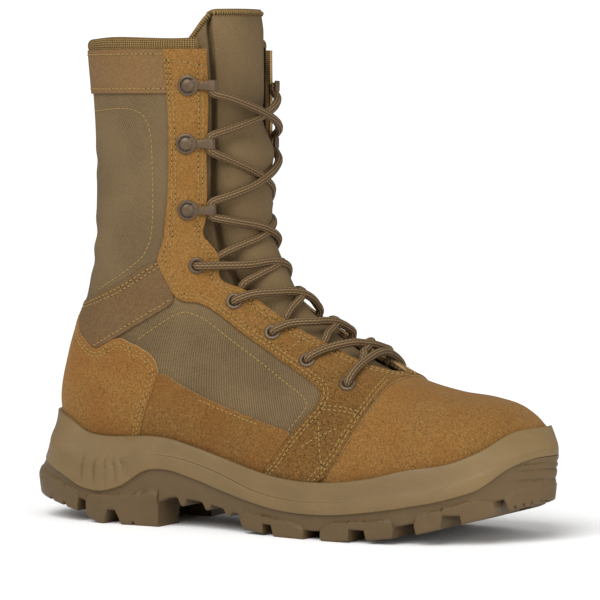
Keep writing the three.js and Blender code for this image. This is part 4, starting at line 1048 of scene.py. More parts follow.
def low_edge(along):
    """Height of the outsole's lower edge: the tread, with its gaps, notches and arch ribs."""
    tread = tread_height(along)
    groove = side_height(along, GROOVE)
    edge = tread.copy()
    for gap in GAPS:
        edge = np.maximum(edge, tread + (groove - tread) * flat_topped(along, *gap))
    for *notch, height in NOTCHES:
        climb = np.maximum(height * SOLE_HEIGHT - tread, 0)
        edge = np.maximum(edge, tread + climb * flat_topped(along, *notch))
    for middle, low in ARCH_RIBS:
        rib = np.clip(1.6 - np.abs(along - middle) / ARCH_RIB_WIDTH, 0, 1)
        edge = edge + (np.minimum(low * SOLE_HEIGHT, edge) - edge) * rib
    return edge


def raised(along, height):
    """1 on the lugs' raised faces and 0 off them, with a narrow slope between."""
    points = np.stack([along * SOLE_LENGTH, height], -1).reshape(-1, 2)
    best = np.full(len(points), -9.0)
    for outline in LUG_FACES:
        ring = rounded(np.array(outline) * (SOLE_LENGTH, SOLE_HEIGHT), closed=True)
        sides = zip(ring, np.roll(ring, -1, axis=0))
        fine = np.concatenate([np.linspace(a, b, 14, endpoint=False) for a, b in sides])
        gap = nearest(points, fine)
        best = np.maximum(best, np.where(inside(points, ring), gap, -gap))
    return smooth(-0.55, 0.55, best).reshape(along.shape)


# The wall's rows as shares from its lower edge to the seam, the bottom's rows as widths from the middle,
# and how far the heel and the toe are drawn in
WALL_ROWS = np.concatenate([[0, 0.03, 0.07], np.linspace(0.12, 1.0, 23)])
BOTTOM_ROWS = np.array([0, 4.2, 8.4, 12.3, 13.2, 17.0, 17.9, 22.0])
HEEL_IN = 6.4
HEEL_LEAN = 5.6
TOE_IN = 1.3


def wall_points(side):
    """The outsole's side wall, from its lower edge up to the seam, and a shelf under the midsole."""
    along = side.along
    low = low_edge(along)
    seam = side_height(along, SEAM) - 0.25
    rear = smooth(0.1, 0, along)
    toe = smooth(0.92, 0.97, along)
    made = []
    for share in WALL_ROWS:
        height = low + (seam - low) * share
        taper = 2.4 * (seam - height) / (seam - tread_height(along) + 1e-6)
        rounding = 0.75 * np.clip(1 - (height - low) / 1.1, 0, 1) ** 2
        recess = 0.3 + (1.6 - toe - rear) * (1 - raised(along, height))
        recess += HEEL_LEAN * rear * smooth(-11, 1, height - seam)
        for mark in TOE_GROOVES:
            line = np.exp(-((height / SOLE_HEIGHT - mark) / 0.011) ** 2)
            recess += 0.8 * line * smooth(TOE_RIBS_FROM - 0.012, TOE_RIBS_FROM + 0.01, along)
        made.append(side.at(taper + rounding + recess, height))
    made.append(side.at(4.0 + 12.0 * smooth(0.12, 0, along), seam))
    return np.array(made)


def make_outsole():
    outer = wall_points(OUTER)
    inner = wall_points(INNER)
    along = OUTER.along
    low = low_edge(along)
    groove = side_height(along, GROOVE)
    whole = np.zeros(len(along), bool)
    for outline in (LUG_FACES[0], LUG_FACES[-1]):
        whole |= (along > outline[0][0]) & (along < outline[1][0])
    tread = tread_height(along)
    centre = groove.copy()
    for rear, front in CENTRE_LUGS:
        share = flat_topped(along, rear, front, rear + LUG_SLOPE, front - LUG_SLOPE)
        centre = np.minimum(centre, groove + (tread - groove) * share)
    centre = np.where(whole, low, centre)
    channel = np.where(whole, low, np.maximum(groove, low))
    bottom = []
    for side, sign in ((outer[0], -1), (inner[0], 1)):
        reach = np.abs(side[:, 1])
        scale = np.where(reach > 24, 1.0, reach / 24)
        rows = []
        for mark in BOTTOM_ROWS:
            y = sign * mark * scale
            z = centre if mark < CENTRE_HALF else channel if mark < CHANNEL_EDGE else low
            rows.append(np.column_stack([side[:, 0], np.where(np.abs(y) > reach, side[:, 1], y), z]))
        start = rows[-1]
        for share in (0.33, 0.66):
            rows.append(start + (side - start) * share)
        bottom.append(rows)
    grid = np.array(list(outer[::-1]) + bottom[0][::-1] + bottom[1][1:] + list(inner))
    return make_piece("outsole_tread", grid.reshape(-1, 3), grid_faces(len(grid), len(COLUMNS)), OUTSOLE,
                      ["outsole"], sharp=40)


# The midsole's section: share from the seam to the step and inset, then share inwards and share of the
# climb from the step to the rim
LOWER_BAND = [
    (-0.06, 2.4), (-0.02, 0.7), (0.02, 0.15), (0.12, -0.1), (0.5, -0.15), (0.86, -0.1), (0.95, 0.05),
    (1.0, 0.5), (0.985, 1.3),
]
SHOULDER = [
    (0.13, 0.0), (0.2, 0.025), (0.27, 0.07), (0.34, 0.15), (0.42, 0.3), (0.5, 0.47), (0.58, 0.63),
    (0.67, 0.77), (0.78, 0.88), (0.89, 0.955), (0.96, 0.99), (1.0, 1.0),
]


def midsole_rows(side):
    seam = side_height(side.along, SEAM)
    step = side_height(side.along, STEP)
    rear = smooth(0.1, 0, side.along)
    toe = smooth(0.95, 1.0, side.along)
    # The step is rounded off at the heel and the toe
    bulge = smooth(0.3, 0.2, side.along) + smooth(0.88, 0.95, side.along)
    rows = []
    for share, inset in LOWER_BAND:
        depth = inset if inset > 0.2 and share < 0 else inset * (1 - 0.8 * bulge)
        drawn_in = (HEEL_IN + HEEL_LEAN * max(share, 0)) * rear + TOE_IN * toe
        rows.append(side.at(depth + drawn_in, seam + (step - seam) * share))
    ledge = side.at((HEEL_IN + HEEL_LEAN) * rear + TOE_IN * toe, step)
    for inward, climb in SHOULDER:
        point = ledge + (side.rim - ledge) * (inward + (climb ** 1.7 - inward) * bulge)[:, None]
        point[:, 2] = step + (side.rim[:, 2] - step) * climb
        rows.append(point)
    rows = np.array(rows)
    height = rows[..., 2] / SOLE_HEIGHT
    for low_along, top_along, low, high in HEEL_RIBS:
        share = np.clip((height - low) / (high - low), 0, 1)
        middle = x_of(low_along + (top_along - low_along) * share)
        across = np.exp(-((rows[..., 0] - middle) / 0.95) ** 2)
        fade = smooth(low - 0.05, low + 0.02, height) * smooth(high + 0.04, high - 0.03, height)
        rows[..., :2] -= side.out[None] * (1.3 * across * fade)[..., None]
    lip, inner, deep = [side.rim + (side.lip - side.rim) * share for share in (0.35, 1, 1)]
    lip[:, 2] = side.rim[:, 2] + 0.25
    inner[:, 2] = side.rim[:, 2] - 0.3
    deep[:, 2] = side.rim[:, 2] - 6
    return np.concatenate([rows, [lip, inner, deep]])


def make_midsole():
    outer = midsole_rows(OUTER)
    inner = midsole_rows(INNER)
    ring = np.concatenate([outer, inner[:, ::-1][:, 1:-1]], axis=1)
    faces = grid_faces(ring.shape[0], ring.shape[1], round_columns=True)
    return make_piece("midsole_wall", ring.reshape(-1, 3), faces, MIDSOLE, ["midsole"],
                      sharp=42)


def make_insole():
    """The pad inside, seen down the shaft."""
    rows = []
    for station in np.linspace(0.02, STATIONS[12], 60):
        ring = offset(station, np.linspace(-1.45, 1.45, 41), -WALL - 0.8)
        ring[:, 2] = np.maximum(ring[:, 2], floor_height(along_of(ring[:, 0])) + 4.5)
        rows.append(ring)
    piece = make_piece("insole_pad", np.reshape(rows, (-1, 3)), grid_faces(60, 41), LINING,
                       ["insole"], grid_places(np.arange(60) * 4.0, np.arange(41) * 2.5))


# Upper

THROAT_RING = np.vstack([rounded(side_points(THROAT)), side_points([(0.8, 0.9), (0.8, 2.6)])])


def edge_sweeps(stations):
    """The angle from the front at which each section passes the throat's edge."""
    def measure(sweep):
        point = face(stations, PI - sweep)[:, [0, 2]]
        return np.where(inside(point, THROAT_RING), -1.0, 1.0)

    return bisect(np.zeros(len(stations)), np.full(len(stations), PI / 2), measure)


def even_turns(station, limit, count):
    """Turns that are evenly spaced round a section, from one limit to the other."""
    fine = np.linspace(-limit, limit, 500)
    return np.interp(np.linspace(0, 1, count), fractions(face(station, fine)), fine)


SEWN_UNDER = 7.0
SUEDE_OUT = 0.2
TOE_TUCK = 5.0


def make_shell():
    """The upper's wall: a suede vamp, cloth quarters, and the lining, with the throat's edge between."""
    stations = np.unique(np.concatenate([np.linspace(0, 1, 236), STATIONS[:COLLAR_ROW + 1]]))
    edges = PI - np.maximum(edge_sweeps(stations), 1e-4)
    count = 211
    turns = np.array([even_turns(s, e, count) for s, e in zip(stations, edges)])
    grid_s = np.repeat(stations[:, None], count, 1)
    base = face(grid_s, turns)
    out = normal(grid_s, turns)
    seam = side_points(FACING_FRONT)
    seam_x = np.interp(base[..., 2], seam[::-1, 1], seam[::-1, 0]) - SEWN_UNDER
    ahead = base[..., 0] > seam_x
    crease = np.where(ahead, creases(base, VAMP_CREASES), creases(base, SHAFT_CREASES))
    below = base[..., 2] - side_height(along_of(base[..., 0]), RIM)
    tuck = TOE_TUCK * smooth(-3, -10, below) * smooth(0.86, 0.92, along_of(base[..., 0]))
    base = base - out * tuck[..., None]
    outer = base + out * (SUEDE_OUT * ahead + crease)[..., None]
    lining = base - out * WALL
    edge_mid = base - out * (WALL / 2)
    for wall in (outer, lining, edge_mid):
        wall[..., 2] = np.minimum(wall[..., 2], COLLAR_HEIGHT)
    ring = np.concatenate([outer, edge_mid[:, -1:], lining[:, ::-1], edge_mid[:, :1]], axis=1)
    ring[:, count] += (ring[:, count] - outer[:, -2]) * 0.25
    ring[:, -1] += (ring[:, -1] - outer[:, 1]) * 0.25
    ring[..., 2] = np.minimum(ring[..., 2], COLLAR_HEIGHT)
    rows, columns = ring.shape[:2]
    faces = grid_faces(rows, columns, round_columns=True)
    column = faces[:, 0] % columns
    row = faces[:, 0] // columns
    front = ahead[row, np.minimum(np.where(column < count, column, 0), count - 1)] & (column < count - 1)
    is_outer = column < count - 1
    heights = ring.reshape(-1, 3)[faces].mean(1)
    keep = heights[:, 2] > floor_height(along_of(heights[:, 0])) - 0.5
    # Room for the eyelets' barrels, and wider holes in the lining
    reach = np.where(is_outer, 3.6, 6.2)
    for side in SIDES.values():
        for place in side_points(EYELETS):
            spot = face(*locate(place, side)[0])
            keep &= (np.linalg.norm(heights - spot, axis=1) >= reach) | (heights[:, 1] * side <= 0)
    # Where the throat is shut, its edge has no faces
    keep &= (edges[row] <= PI - 0.002) | (column < count - 1) | ((column > count) & (column < columns - 2))
    points = ring.reshape(-1, 3)
    uv = np.stack([grid_s * 330, turns * 42], -1)
    uv = np.concatenate([uv, uv[:, -1:], uv[:, ::-1], uv[:, :1]], axis=1).reshape(-1, 2)
    add_part("vamp", points, faces[keep & front], SUEDE, [], uv)
    add_part("quarters", points, faces[keep & is_outer & ~front], TWILL, ["upper"], uv)
    add_part("shaft_lining", points, faces[keep & ~is_outer], LINING, [], uv)


def add_part(name, points, faces, material, nodes, uv):
    """A piece from some of a grid's faces, with only the points they use."""
    used, numbers = np.unique(faces, return_inverse=True)
    return make_piece(name, points[used], numbers.reshape(faces.shape), material, nodes, uv=uv[used])


# Creases: from and to as along and rise, width and depth
VAMP_CREASES = [
    ((0.735, 0.40), (0.80, 0.36), 2.4, 0.5),
    ((0.76, 0.33), (0.83, 0.27), 3.4, 0.45),
    ((0.71, 0.28), (0.79, 0.17), 3.2, 0.4),
    ((0.68, 0.12), (0.76, 0.07), 3.0, 0.35),
]
SHAFT_CREASES = [
    ((0.1, 1.42), (0.17, 1.37), 3.5, 0.5),
    ((0.1, 0.98), (0.2, 1.03), 4.0, 0.65),
    ((0.1, 0.83), (0.21, 0.93), 3.5, 0.55),
    ((0.2, 1.18), (0.29, 1.3), 5.0, 0.4),
    ((0.3, 0.6), (0.43, 0.5), 3.5, 0.5),
    ((0.34, 0.47), (0.5, 0.41), 3.5, 0.5),
    ((0.47, 0.54), (0.55, 0.45), 3.0, 0.35),
]


def creases(points, lines):
    """Shallow hollows where the upper bends, each along a line in the side view."""
    depth = np.zeros(points.shape[:2])
    side = points[..., [0, 2]]
    for start, end, width, strength in lines:
        a, b = side_points([start, end])
        way = b - a
        share = np.clip(((side - a) @ way) / (way @ way), 0, 1)
        gap = np.linalg.norm(side - a - share[..., None] * way, axis=-1)
        fade = np.sin(PI * np.clip(share, 0.02, 0.98)) ** 0.6
        depth -= strength * fade * np.exp(-(gap / width) ** 2)
        depth += 0.5 * strength * fade * np.exp(-((gap - 2.0 * width) / width) ** 2)
    return depth


def side_ring(parts, side):
    """A closed outline of stations and turns from the side view's edges."""
    rows = [row for part in parts for row in part]
    return locate(rounded(side_points(rows), 6.0, 3, closed=True), side)


def make_eyestays():
    for name, side in SIDES.items():
        outline = side_ring([THROAT, FACING_FRONT, FACING_FOOT, QUARTER_TOP, STRAP_FRONT, FACING_REAR], side)
        outline[:, 0] = np.minimum(outline[:, 0], at_height(outline[:, 1], COLLAR_HEIGHT - 0.3))
        throat = side_line([(0.391, 1.99)] + THROAT[1:], side)
        lower = STRAP_FRONT[::-1] + QUARTER_TOP[::-1] + FACING_FOOT[::-1]
        rear = side_line([(0.32, 1.99)] + FACING_REAR[:1] + lower, side)
        front = side_line(FACING_FRONT, side)
        rows = []
        for line, way in ((throat, side), (rear, -side), (front, side)):
            for k in range(2):
                rows.append(shifted(line, way * (EDGE_MARGIN + ROW_GAP * k))[2:-2])
        rows.append(resample(locate(side_points([(0.33, 1.96), (0.383, 1.96)]), side), 1.0))
        rows.append(side_line(SEAM_ROW, side))
        corner = side_line(FACING_FOOT[-1:] + [(0.66, 0.4), (0.7, 0.38)], side)
        rows += [corner[3:], shifted(corner, side * ROW_GAP)[3:]]
        rows += [side_line(line, side) for line in CROSS_ROWS]
        holes = [(tuple(locate(place, side)[0]), 3.3) for place in side_points(EYELETS)]
        make_panel("eyestay_suede_" + name, outline, EYESTAY_SUEDE, "eyestay_" + name, 0.1,
                   OVERLAY_FACE - 0.1, rows, holes, CUT_EDGE)
        make_stitches("eyestay_stitches_" + name, rows, OVERLAY_FACE - 0.22)


def make_side_panels():
    for name, side in SIDES.items():
        strap = side_ring([STRAP_FRONT, STRAP_TOP, STRAP_REAR, STRAP_LOW], side)
        upper = side_line(STRAP_FRONT[-1:] + STRAP_TOP, side)
        lower = side_line(STRAP_REAR[-1:] + STRAP_LOW + STRAP_FRONT[:1], side)
        rows = [shifted(upper, -side * 2.2), shifted(upper, -side * 4.2), shifted(lower, -side * 2.6)]
        make_panel("ankle_strap_band_" + name, strap, STRAP, "ankle_strap_" + name, 0.1, 1.1, rows)
        make_stitches("ankle_strap_stitches_" + name, rows, 1.0)
        front, rear = FACING_FOOT[:-1][::-1], COUNTER_FOOT[::-1]
        mudguard = side_ring([COUNTER_FRONT[-1:], MUDGUARD_TOP, front, rear], side)
        row = shifted(side_line(MUDGUARD_TOP, side), side * 2.2)
        make_stitches("mudguard_stitches_" + name, [row], 1.15)
        make_panel("mudguard_suede_" + name, mudguard, MUDGUARD_SUEDE, "mudguard_" + name, 0.1, 1.2,
                   edge=CUT_EDGE)


def make_counter():
    """The heel's panel: up the outer side's front edge, over the back, and down the inner one's."""
    edge = locate(rounded(side_points(STRAP_REAR + STRAP_LOW[:1] + COUNTER_FRONT + COUNTER_FOOT)), -1)
    start, end = edge[0], edge[-1]
    turns = np.linspace(start[1], 0, 24)[:-1]
    climb = smooth(0, 0.8, np.linspace(0, 1, 24)[:-1])
    heights = face(*start)[2] + (COUNTER_HEIGHT - face(*start)[2]) * climb
    top = np.stack([at_height(turns, heights), turns], 1)
    turns = np.linspace(end[1], 0, 12)[1:]
    low = np.full(11, STATIONS[BALL_ROW])
    bottom = bisect(low, np.full(11, STATIONS[-3]), lambda s: face(s, turns)[:, 2] - 40.0)
    outer = np.vstack([top[::-1], edge[1:], np.stack([bottom, turns], 1)])
    outline = np.vstack([outer, (outer * (1, -1))[::-1][1:]])
    rows = []
    for side in SIDES.values():
        line = resample(edge * (1, -side), 1.0)
        rows += [shifted(line, side * (EDGE_MARGIN + ROW_GAP * k)) for k in range(2)]
    make_panel("counter_suede", outline, COUNTER_SUEDE, "counter", 0.15, 1.55, rows, edge=CUT_EDGE)
    make_stitches("counter_stitches", rows, OVERLAY_FACE - 0.15)


def make_cuff():
    low = COLLAR_HEIGHT - CUFF_HEIGHT
    end = locate([(x_of(0.335), low + 12)], -1)[0][1]
    turns = np.linspace(end, -end, 60)
    marks = (low, COLLAR_HEIGHT - 0.4, low + 2.6, COLLAR_HEIGHT - 3.0)
    bottom, top, *rows = [np.stack([at_height(turns, mark), turns], 1) for mark in marks]
    make_panel("cuff_band", np.vstack([bottom, top[::-1]]), BAND, "cuff", 0.1, 1.1, rows)
    make_stitches("cuff_stitches", rows, 1.0)


def make_decor_stitches():
    """Single rows sewn into the cloth: an arch on the shaft and a line inside the quarter."""
    rows = [side_line(line, side, 14.0, 3) for side in SIDES.values() for line in (SHAFT_ROW, QUARTER_ROW)]
    make_stitches("cloth_stitches", rows, -0.12)


# The collar roll's section, as shares of its width outwards and of its height
ROLL = [
    (0.0, -0.35), (0.1, -0.05), (0.17, 0.25), (0.14, 0.6), (-0.02, 0.86), (-0.2, 0.98), (-0.42, 1.0),
    (-0.62, 0.92), (-0.78, 0.72), (-0.87, 0.4), (-0.84, 0.05), (-0.8, -0.5),
]
ROLL_WIDTH = 5.4
ROLL_HEIGHT = 6.0


def make_collar_roll():
    end = abs(locate([(x_of(0.385), COLLAR_HEIGHT)], 1)[0][1])
    turns = even_turns(1.0, end, 160)
    profile = spline(np.linspace(0, 1, len(ROLL)), ROLL)(np.linspace(0, 1, 26))
    rings = []
    for turn in turns:
        shut = np.sqrt(max(1 - smooth(0.97, 1.0, abs(turn) / end), 0.02))
        rise = ROLL_HEIGHT * (0.92 + 0.08 * np.cos(5 * turn))
        ring = offset(1.0, turn, profile[:, 0] * ROLL_WIDTH * shut - 2.0 * (1 - shut))
        ring[:, 2] = COLLAR_HEIGHT + 0.3 + profile[:, 1] * rise * shut
        rings.append(ring)
    grid = np.array(rings)
    piece = make_piece("collar_padding", grid.reshape(-1, 3), grid_faces(160, 26), KNIT,
                       ["collar_roll"], grid_places(ways_along(grid[:, 12]), ways_along(grid[80])))


# Tongue

# The tongue's rows: place among the sections, half width as an angle, and share of its full depth
TONGUE_ROWS = [
    (5.9, 0.45, 0.12), (6.3, 0.75, 0.3), (7, 0.95, 0.85), (8, 1.05, 1), (9.2, 1.12, 1), (10.4, 1.16, 1),
    (11.6, 1.2, 1), (13, 1.26, 1), (15, 1.32, 1), (17, 1.36, 1), (19, 1.38, 1),
]
PAD_SHARE = 0.5
PRESSED = (219, 189, 158)
TONGUE_THICKNESS = 4.0


def tongue_rows():
    top_height = COLLAR_HEIGHT + TONGUE_STAND - 1
    top = bisect(np.ones(1), STATIONS[-1:], lambda s: face(s, PI)[..., 2] - top_height)[0]
    rows = [(np.interp(section, range(len(STATIONS)), STATIONS), *rest) for section, *rest in TONGUE_ROWS]
    rows.append((1 + (top - 1) * 0.8, 1.38, 1))
    rows.append((top, 1.3, 1))
    rows = np.array(rows)
    stations = np.linspace(rows[0, 0], top, 170)
    return stations, spline(rows[:, 0], rows[:, 1:])(stations)


def make_tongue():
    """A padded centre that stands proud of thinner wings, pressed in where the laces cross it."""
    stations, spread_depth = tongue_rows()
    near_step = np.linspace(PAD_SHARE - 0.04, PAD_SHARE + 0.11, 17)
    share = np.unique(np.concatenate([np.linspace(-1, 1, 71), near_step, -near_step]).round(4))
    columns = len(share)
    reach = np.abs(share)
    middle = reach / PAD_SHARE
    pad = smooth(PAD_SHARE + 0.035, PAD_SHARE - 0.005, reach)
    groove = np.exp(-((reach - PAD_SHARE - 0.045) / 0.024) ** 2)
    edge = smooth(1.0, 0.93, reach)
    drop = 0.006 * reach ** 2 + 0.055 * smooth(0.5, 0.98, reach) - 0.006
    front, back = [], []
    for row, (sweep, depth) in enumerate(spread_depth):
        climb = row / (len(stations) - 1)
        station = stations[row] - drop * climb ** 3
        turn = PI + share * sweep
        height = face(station, turn)[:, 2]
        pressed = sum(np.exp(-((height - mark) / 7) ** 2) for mark in PRESSED)
        high = smooth(202, 226, height)
        full = smooth(214, 198, height) * smooth(118, 142, height)
        puff = 0.7 + 4.4 * full - 1.3 * pressed - 2.0 * high
        across = np.minimum(middle, 1)
        out = 5.0 + (0.2 + 1.3 * high) * across ** 2 + 0.8 * across ** 4 - puff * (1 - across ** 6)
        wing = 8.2 + 4.6 * groove
        under = (WALL + 0.3) * (1 - depth) + (out * pad + wing * (1 - pad)) * depth
        closing = smooth(1, 0.965, np.full(columns, climb))
        thickness = TONGUE_THICKNESS * (0.3 + 0.7 * edge * closing) + 1.5 * pad * closing * depth
        front.append(offset(station, turn, -under - 0.5 * (1 - edge) - 1.2 * (1 - closing)))
        back.append(offset(station, turn, -under - thickness))
    front = np.array(front)
    back = np.array(back)
    ring = np.concatenate([front, back[:, ::-1]], axis=1)
    rows, count = ring.shape[:2]
    faces = numbered(grid_faces(rows, count, round_columns=True), 0)
    last = (rows - 1) * count
    faces += [
        (last + i, last + i + 1, last + count - 2 - i, last + count - 1 - i) for i in range(columns - 1)
    ]
    uv = np.zeros((rows, count, 2))
    uv[..., 0] = (stations * 330)[:, None]
    uv[:, :columns, 1] = share * 52
    uv[:, columns:, 1] = share[::-1] * 52
    piece = make_piece("tongue_pad", ring.reshape(-1, 3), faces, TONGUE_TWILL, ["tongue"],
                       uv=uv.reshape(-1, 2), sharp=60)
    binding = (front[-2] + back[-2]) / 2
    make_tube("tongue_binding", binding[2:-2], 1.5, KNIT, sides=12)


# Cords and fittings


def even_path(points, step):
    """A smooth path through points, evenly spaced."""
    points = np.asarray(points, float)
    gaps = np.linalg.norm(np.diff(points, axis=0), axis=1) ** 0.5
    knots = np.concatenate([[0], np.cumsum(gaps)])
    fine = spline(knots, points)(np.linspace(0, knots[-1], len(points) * 24))
    ways = ways_along(fine)
    return read_off(np.linspace(0, ways[-1], max(int(ways[-1] / step), 4)), ways, fine)


def steady_frames(path):
    """Two directions across a path that turn as little as they can."""
    way = unit(np.gradient(path, axis=0))
    across = np.zeros_like(way)
    across[0] = unit(np.cross(way[0], (0.3, 0.2, 0.93)))
    for i in range(1, len(way)):
        across[i] = unit(across[i - 1] - way[i] * (across[i - 1] @ way[i]))
    return across, np.cross(way, across)


TUBE_STEP = 0.9


def make_tube(name, points, radius, material, nodes=(), sides=14):
    """A round cord or roll along a path through points."""
    path = even_path(points, TUBE_STEP)
    across, up = steady_frames(path)
    angle = np.linspace(0, 2 * PI, sides + 1)
    spoke = across[:, None] * np.cos(angle)[:, None] + up[:, None] * np.sin(angle)[:, None]
    size = np.full(len(path), radius)
    size[0] = size[-1] = radius * 0.55
    grid = path[:, None] + spoke * size[:, None, None]
    faces = numbered(grid_faces(len(path), sides + 1), 0) + end_faces(len(path), sides + 1, sides)
    uv = grid_places(np.arange(len(path)) * TUBE_STEP, angle / 2 / PI)
    return make_piece(name, grid.reshape(-1, 3), faces, material, nodes, uv=uv)


class Seat:
    """Where a fitting sits: u is level to the front, v up, w out."""

    def __init__(self, place, side):
        self.side = side
        self.station, self.turn = locate(side_points([place]), side)[0]
        self.sweep = PI - abs(self.turn)
        self.origin = face(self.station, self.turn)
        self.w = normal(self.station, self.turn)
        level = np.array([side * self.w[1], -side * self.w[0], 0])
        self.u = level / np.linalg.norm(level)
        self.v = side * np.cross(self.u, self.w)

    def at(self, u, v, w):
        return self.origin + self.u * u + self.v * v + self.w * w

    def place(self, points):
        return self.origin + points @ np.array([self.u, self.v, self.w])


EYELET_SEATS = {name: [Seat(place, side) for place in EYELETS] for name, side in SIDES.items()}
HOOK_SEATS = {name: [Seat(place, side) for place in HOOKS] for name, side in SIDES.items()}


def lathe(profile, sides=28):
    """Points and faces of a turned form about w."""
    angle = np.linspace(0, 2 * PI, sides, endpoint=False)
    points = [(r * math.cos(a), r * math.sin(a), h) for r, h in profile for a in angle]
    return np.array(points), grid_faces(len(profile), sides, round_columns=True)


ARM_LEAN = 0.2
LACE_RADIUS = 2.25
BORE_RADIUS = 2.45
BARREL_RADIUS = 3.1
BARREL_DEPTH = -3.4


def make_eyelets():
    """A rolled rim on the suede and a barrel that goes through the facing."""
    level = OVERLAY_FACE + 0.05
    curl = [(1 - math.cos(a), math.sin(a)) for a in np.linspace(0.25, PI - 0.3, 8)]
    profile = [(BORE_RADIUS, BARREL_DEPTH), (BORE_RADIUS, level + 0.2)]
    profile += [(BORE_RADIUS + 1.05 * out, level + 0.2 + 0.75 * up) for out, up in curl]
    profile += [(4.55, level + 0.12), (4.6, level - 0.15), (BARREL_RADIUS, level - 0.2)]
    profile += [(BARREL_RADIUS, BARREL_DEPTH), (BORE_RADIUS, BARREL_DEPTH)]
    points, faces = lathe(profile)
    for name, seats in EYELET_SEATS.items():
        for i, seat in enumerate(seats, 1):
            turned = faces if seat.side < 0 else faces[:, ::-1]
            make_piece("eyelet_ring_%s_%d" % (name, i), seat.place(points), turned, ENAMEL,
                       ["eyelet_%s_%d" % (name, i)], sharp=40)


# A hook's plate as radius and height over its face, and its arm: u and w, the first from the plate's base
# and the rest from the arm's own height
PLATE = 1.1
PLATE_SIDES = 32
PLATE_PROFILE = [
    (0.01, 1.15), (1.3, 1.12), (2.6, 0.85), (3.25, 0.4), (3.35, -0.5), (4.1, -0.5), (4.25, 0.05), (5.0, 0),
    (5.4, -0.2), (5.55, 0.3 - PLATE), (5.55, -PLATE), (0.01, -PLATE),
]
SUNK_RING = range(4 * PLATE_SIDES, 6 * PLATE_SIDES)
ARM_ROOT = [(2.0, 0.55), (4.6, 0.55), (5.6, 0.9), (6.6, 1.75)]
ARM_REACH = [(7.6, 0.15), (9.5, 0.3), (12.0, 0.3), (13.8, 0.1), (14.7, -0.7), (14.85, -1.8), (14.8, -3.2)]
ARM_HEIGHT = 3.5
ARM_SECTION = [
    (-1, 0), (-0.94, 0.36), (-0.8, 0.5), (0.8, 0.5), (0.94, 0.36), (1, 0), (0.94, -0.36), (0.8, -0.5),
    (-0.8, -0.5), (-0.94, -0.36),
]
RIVET_DOT = [(0.01, 0.22), (0.28, 0.15), (0.38, -0.12)]
DOT_CIRCLE = 3.75


def hook_arm(base):
    """Points and faces of the arm, from its root on the plate to its tip that turns in."""
    line = [(u, base + w) for u, w in ARM_ROOT] + [(u, ARM_HEIGHT + w) for u, w in ARM_REACH]
    line = even_path([(u, 0, w - ARM_LEAN * max(u - 6, 0)) for u, w in line], 0.45)[:, [0, 2]]
    way = unit(np.gradient(line, axis=0))
    half = 2.1 + 1.2 * np.clip(1 - (line[:, 0] - 3.0) / 3.6, 0, 1) ** 2 + 0.9 * smooth(8.5, 12.5, line[:, 0])
    points = []
    for (u, w), (along_u, along_w), wide in zip(line, way, half):
        points += [(u - along_w * t, s * wide, w + along_u * t) for s, t in ARM_SECTION]
    rows, columns = len(line), len(ARM_SECTION)
    faces = numbered(grid_faces(rows, columns, round_columns=True), 0)
    return np.array(points), faces + end_faces(rows, columns, columns)


def make_hooks():
    """A round plate with a domed rivet in a sunk ring, and an arm that reaches over the lace and turns in."""
    base = OVERLAY_FACE + 0.15
    top = base + PLATE
    forms = [lathe([(r, top + h) for r, h in PLATE_PROFILE], PLATE_SIDES), hook_arm(base)]
    for k in range(6):
        angle = k * PI / 3 + 0.4
        dot, dot_faces = lathe([(r, top + h) for r, h in RIVET_DOT], 8)
        forms.append((dot + (DOT_CIRCLE * math.cos(angle), DOT_CIRCLE * math.sin(angle), 0), dot_faces))
    faces = []
    start = 0
    for points, form_faces in forms:
        faces += numbered(form_faces, start)
        start += len(points)
    points = np.vstack([points for points, _ in forms])
    for name, seats in HOOK_SEATS.items():
        for i, seat in enumerate(seats, 1):
            turned = faces if seat.side < 0 else [f[::-1] for f in faces]
            make_piece("hook_plate_%s_%d" % (name, i), seat.place(points), turned, ENAMEL,
                       ["hook_%s_%d" % (name, i)], sharp=40, extra=[(DARK_ENAMEL, SUNK_RING)])


ON_TONGUE = -0.2
OVER_FACING = OVERLAY_FACE + LACE_RADIUS + 0.1
UNDER_FACING = -WALL - LACE_RADIUS - 0.6


def nearest_edge(seat):
    stations = seat.station + np.linspace(-0.08, 0.08, 33)
    sweeps = edge_sweeps(stations)
    places = face(stations, seat.side * (PI - sweeps))
    best = np.linalg.norm(places - seat.origin, axis=1).argmin()
    return stations[best], sweeps[best], places[best]


def on_face(station, sweep, out):
    turn = (PI - abs(sweep)) * (-1 if sweep < 0 else 1)
    return offset(station, turn, out)


# A lace's places over the tongue: share of the way up, share of the way across, how far it stays clear of
# the edge, and share of the rise from the tongue to over the facing
OVER_TONGUE = [
    (0.1, -1, 2.8, 0.12), (0.24, -0.66, 0, 0.05), (0.37, -0.3, 0, 0), (0.5, 0, 0, 0), (0.63, 0.3, 0, 0),
    (0.77, 0.66, 0, 0.2), (0.88, 1, 1.5, 0.86),
]


def across_tongue(start, end, side, rows, lift):
    """Points of a lace over the tongue, between two places of the throat's edge."""
    way = (end[2] - start[2]) * (0.5, 0, 1)
    made = []
    for climb, across, clear, share in rows:
        def sweep_at(station):
            edge = edge_sweeps(station)
            at = face(station, PI - edge)
            per_radian = np.linalg.norm(at - face(station, PI - edge + 0.004), axis=-1) / 0.004
            return across * (edge - clear / per_radian)

        def measure(station):
            place = face(station, PI - np.abs(sweep_at(station)))
            return (place - start[2]) @ way / (way @ way) - climb

        station = bisect(np.array([start[0] - 0.2]), np.array([end[0] + 0.1]), measure)
        sweep = sweep_at(station)[0]
        made.append(on_face(station[0], side * sweep, ON_TONGUE + lift + (OVER_FACING - ON_TONGUE) * share))
    return made, station[0], sweep


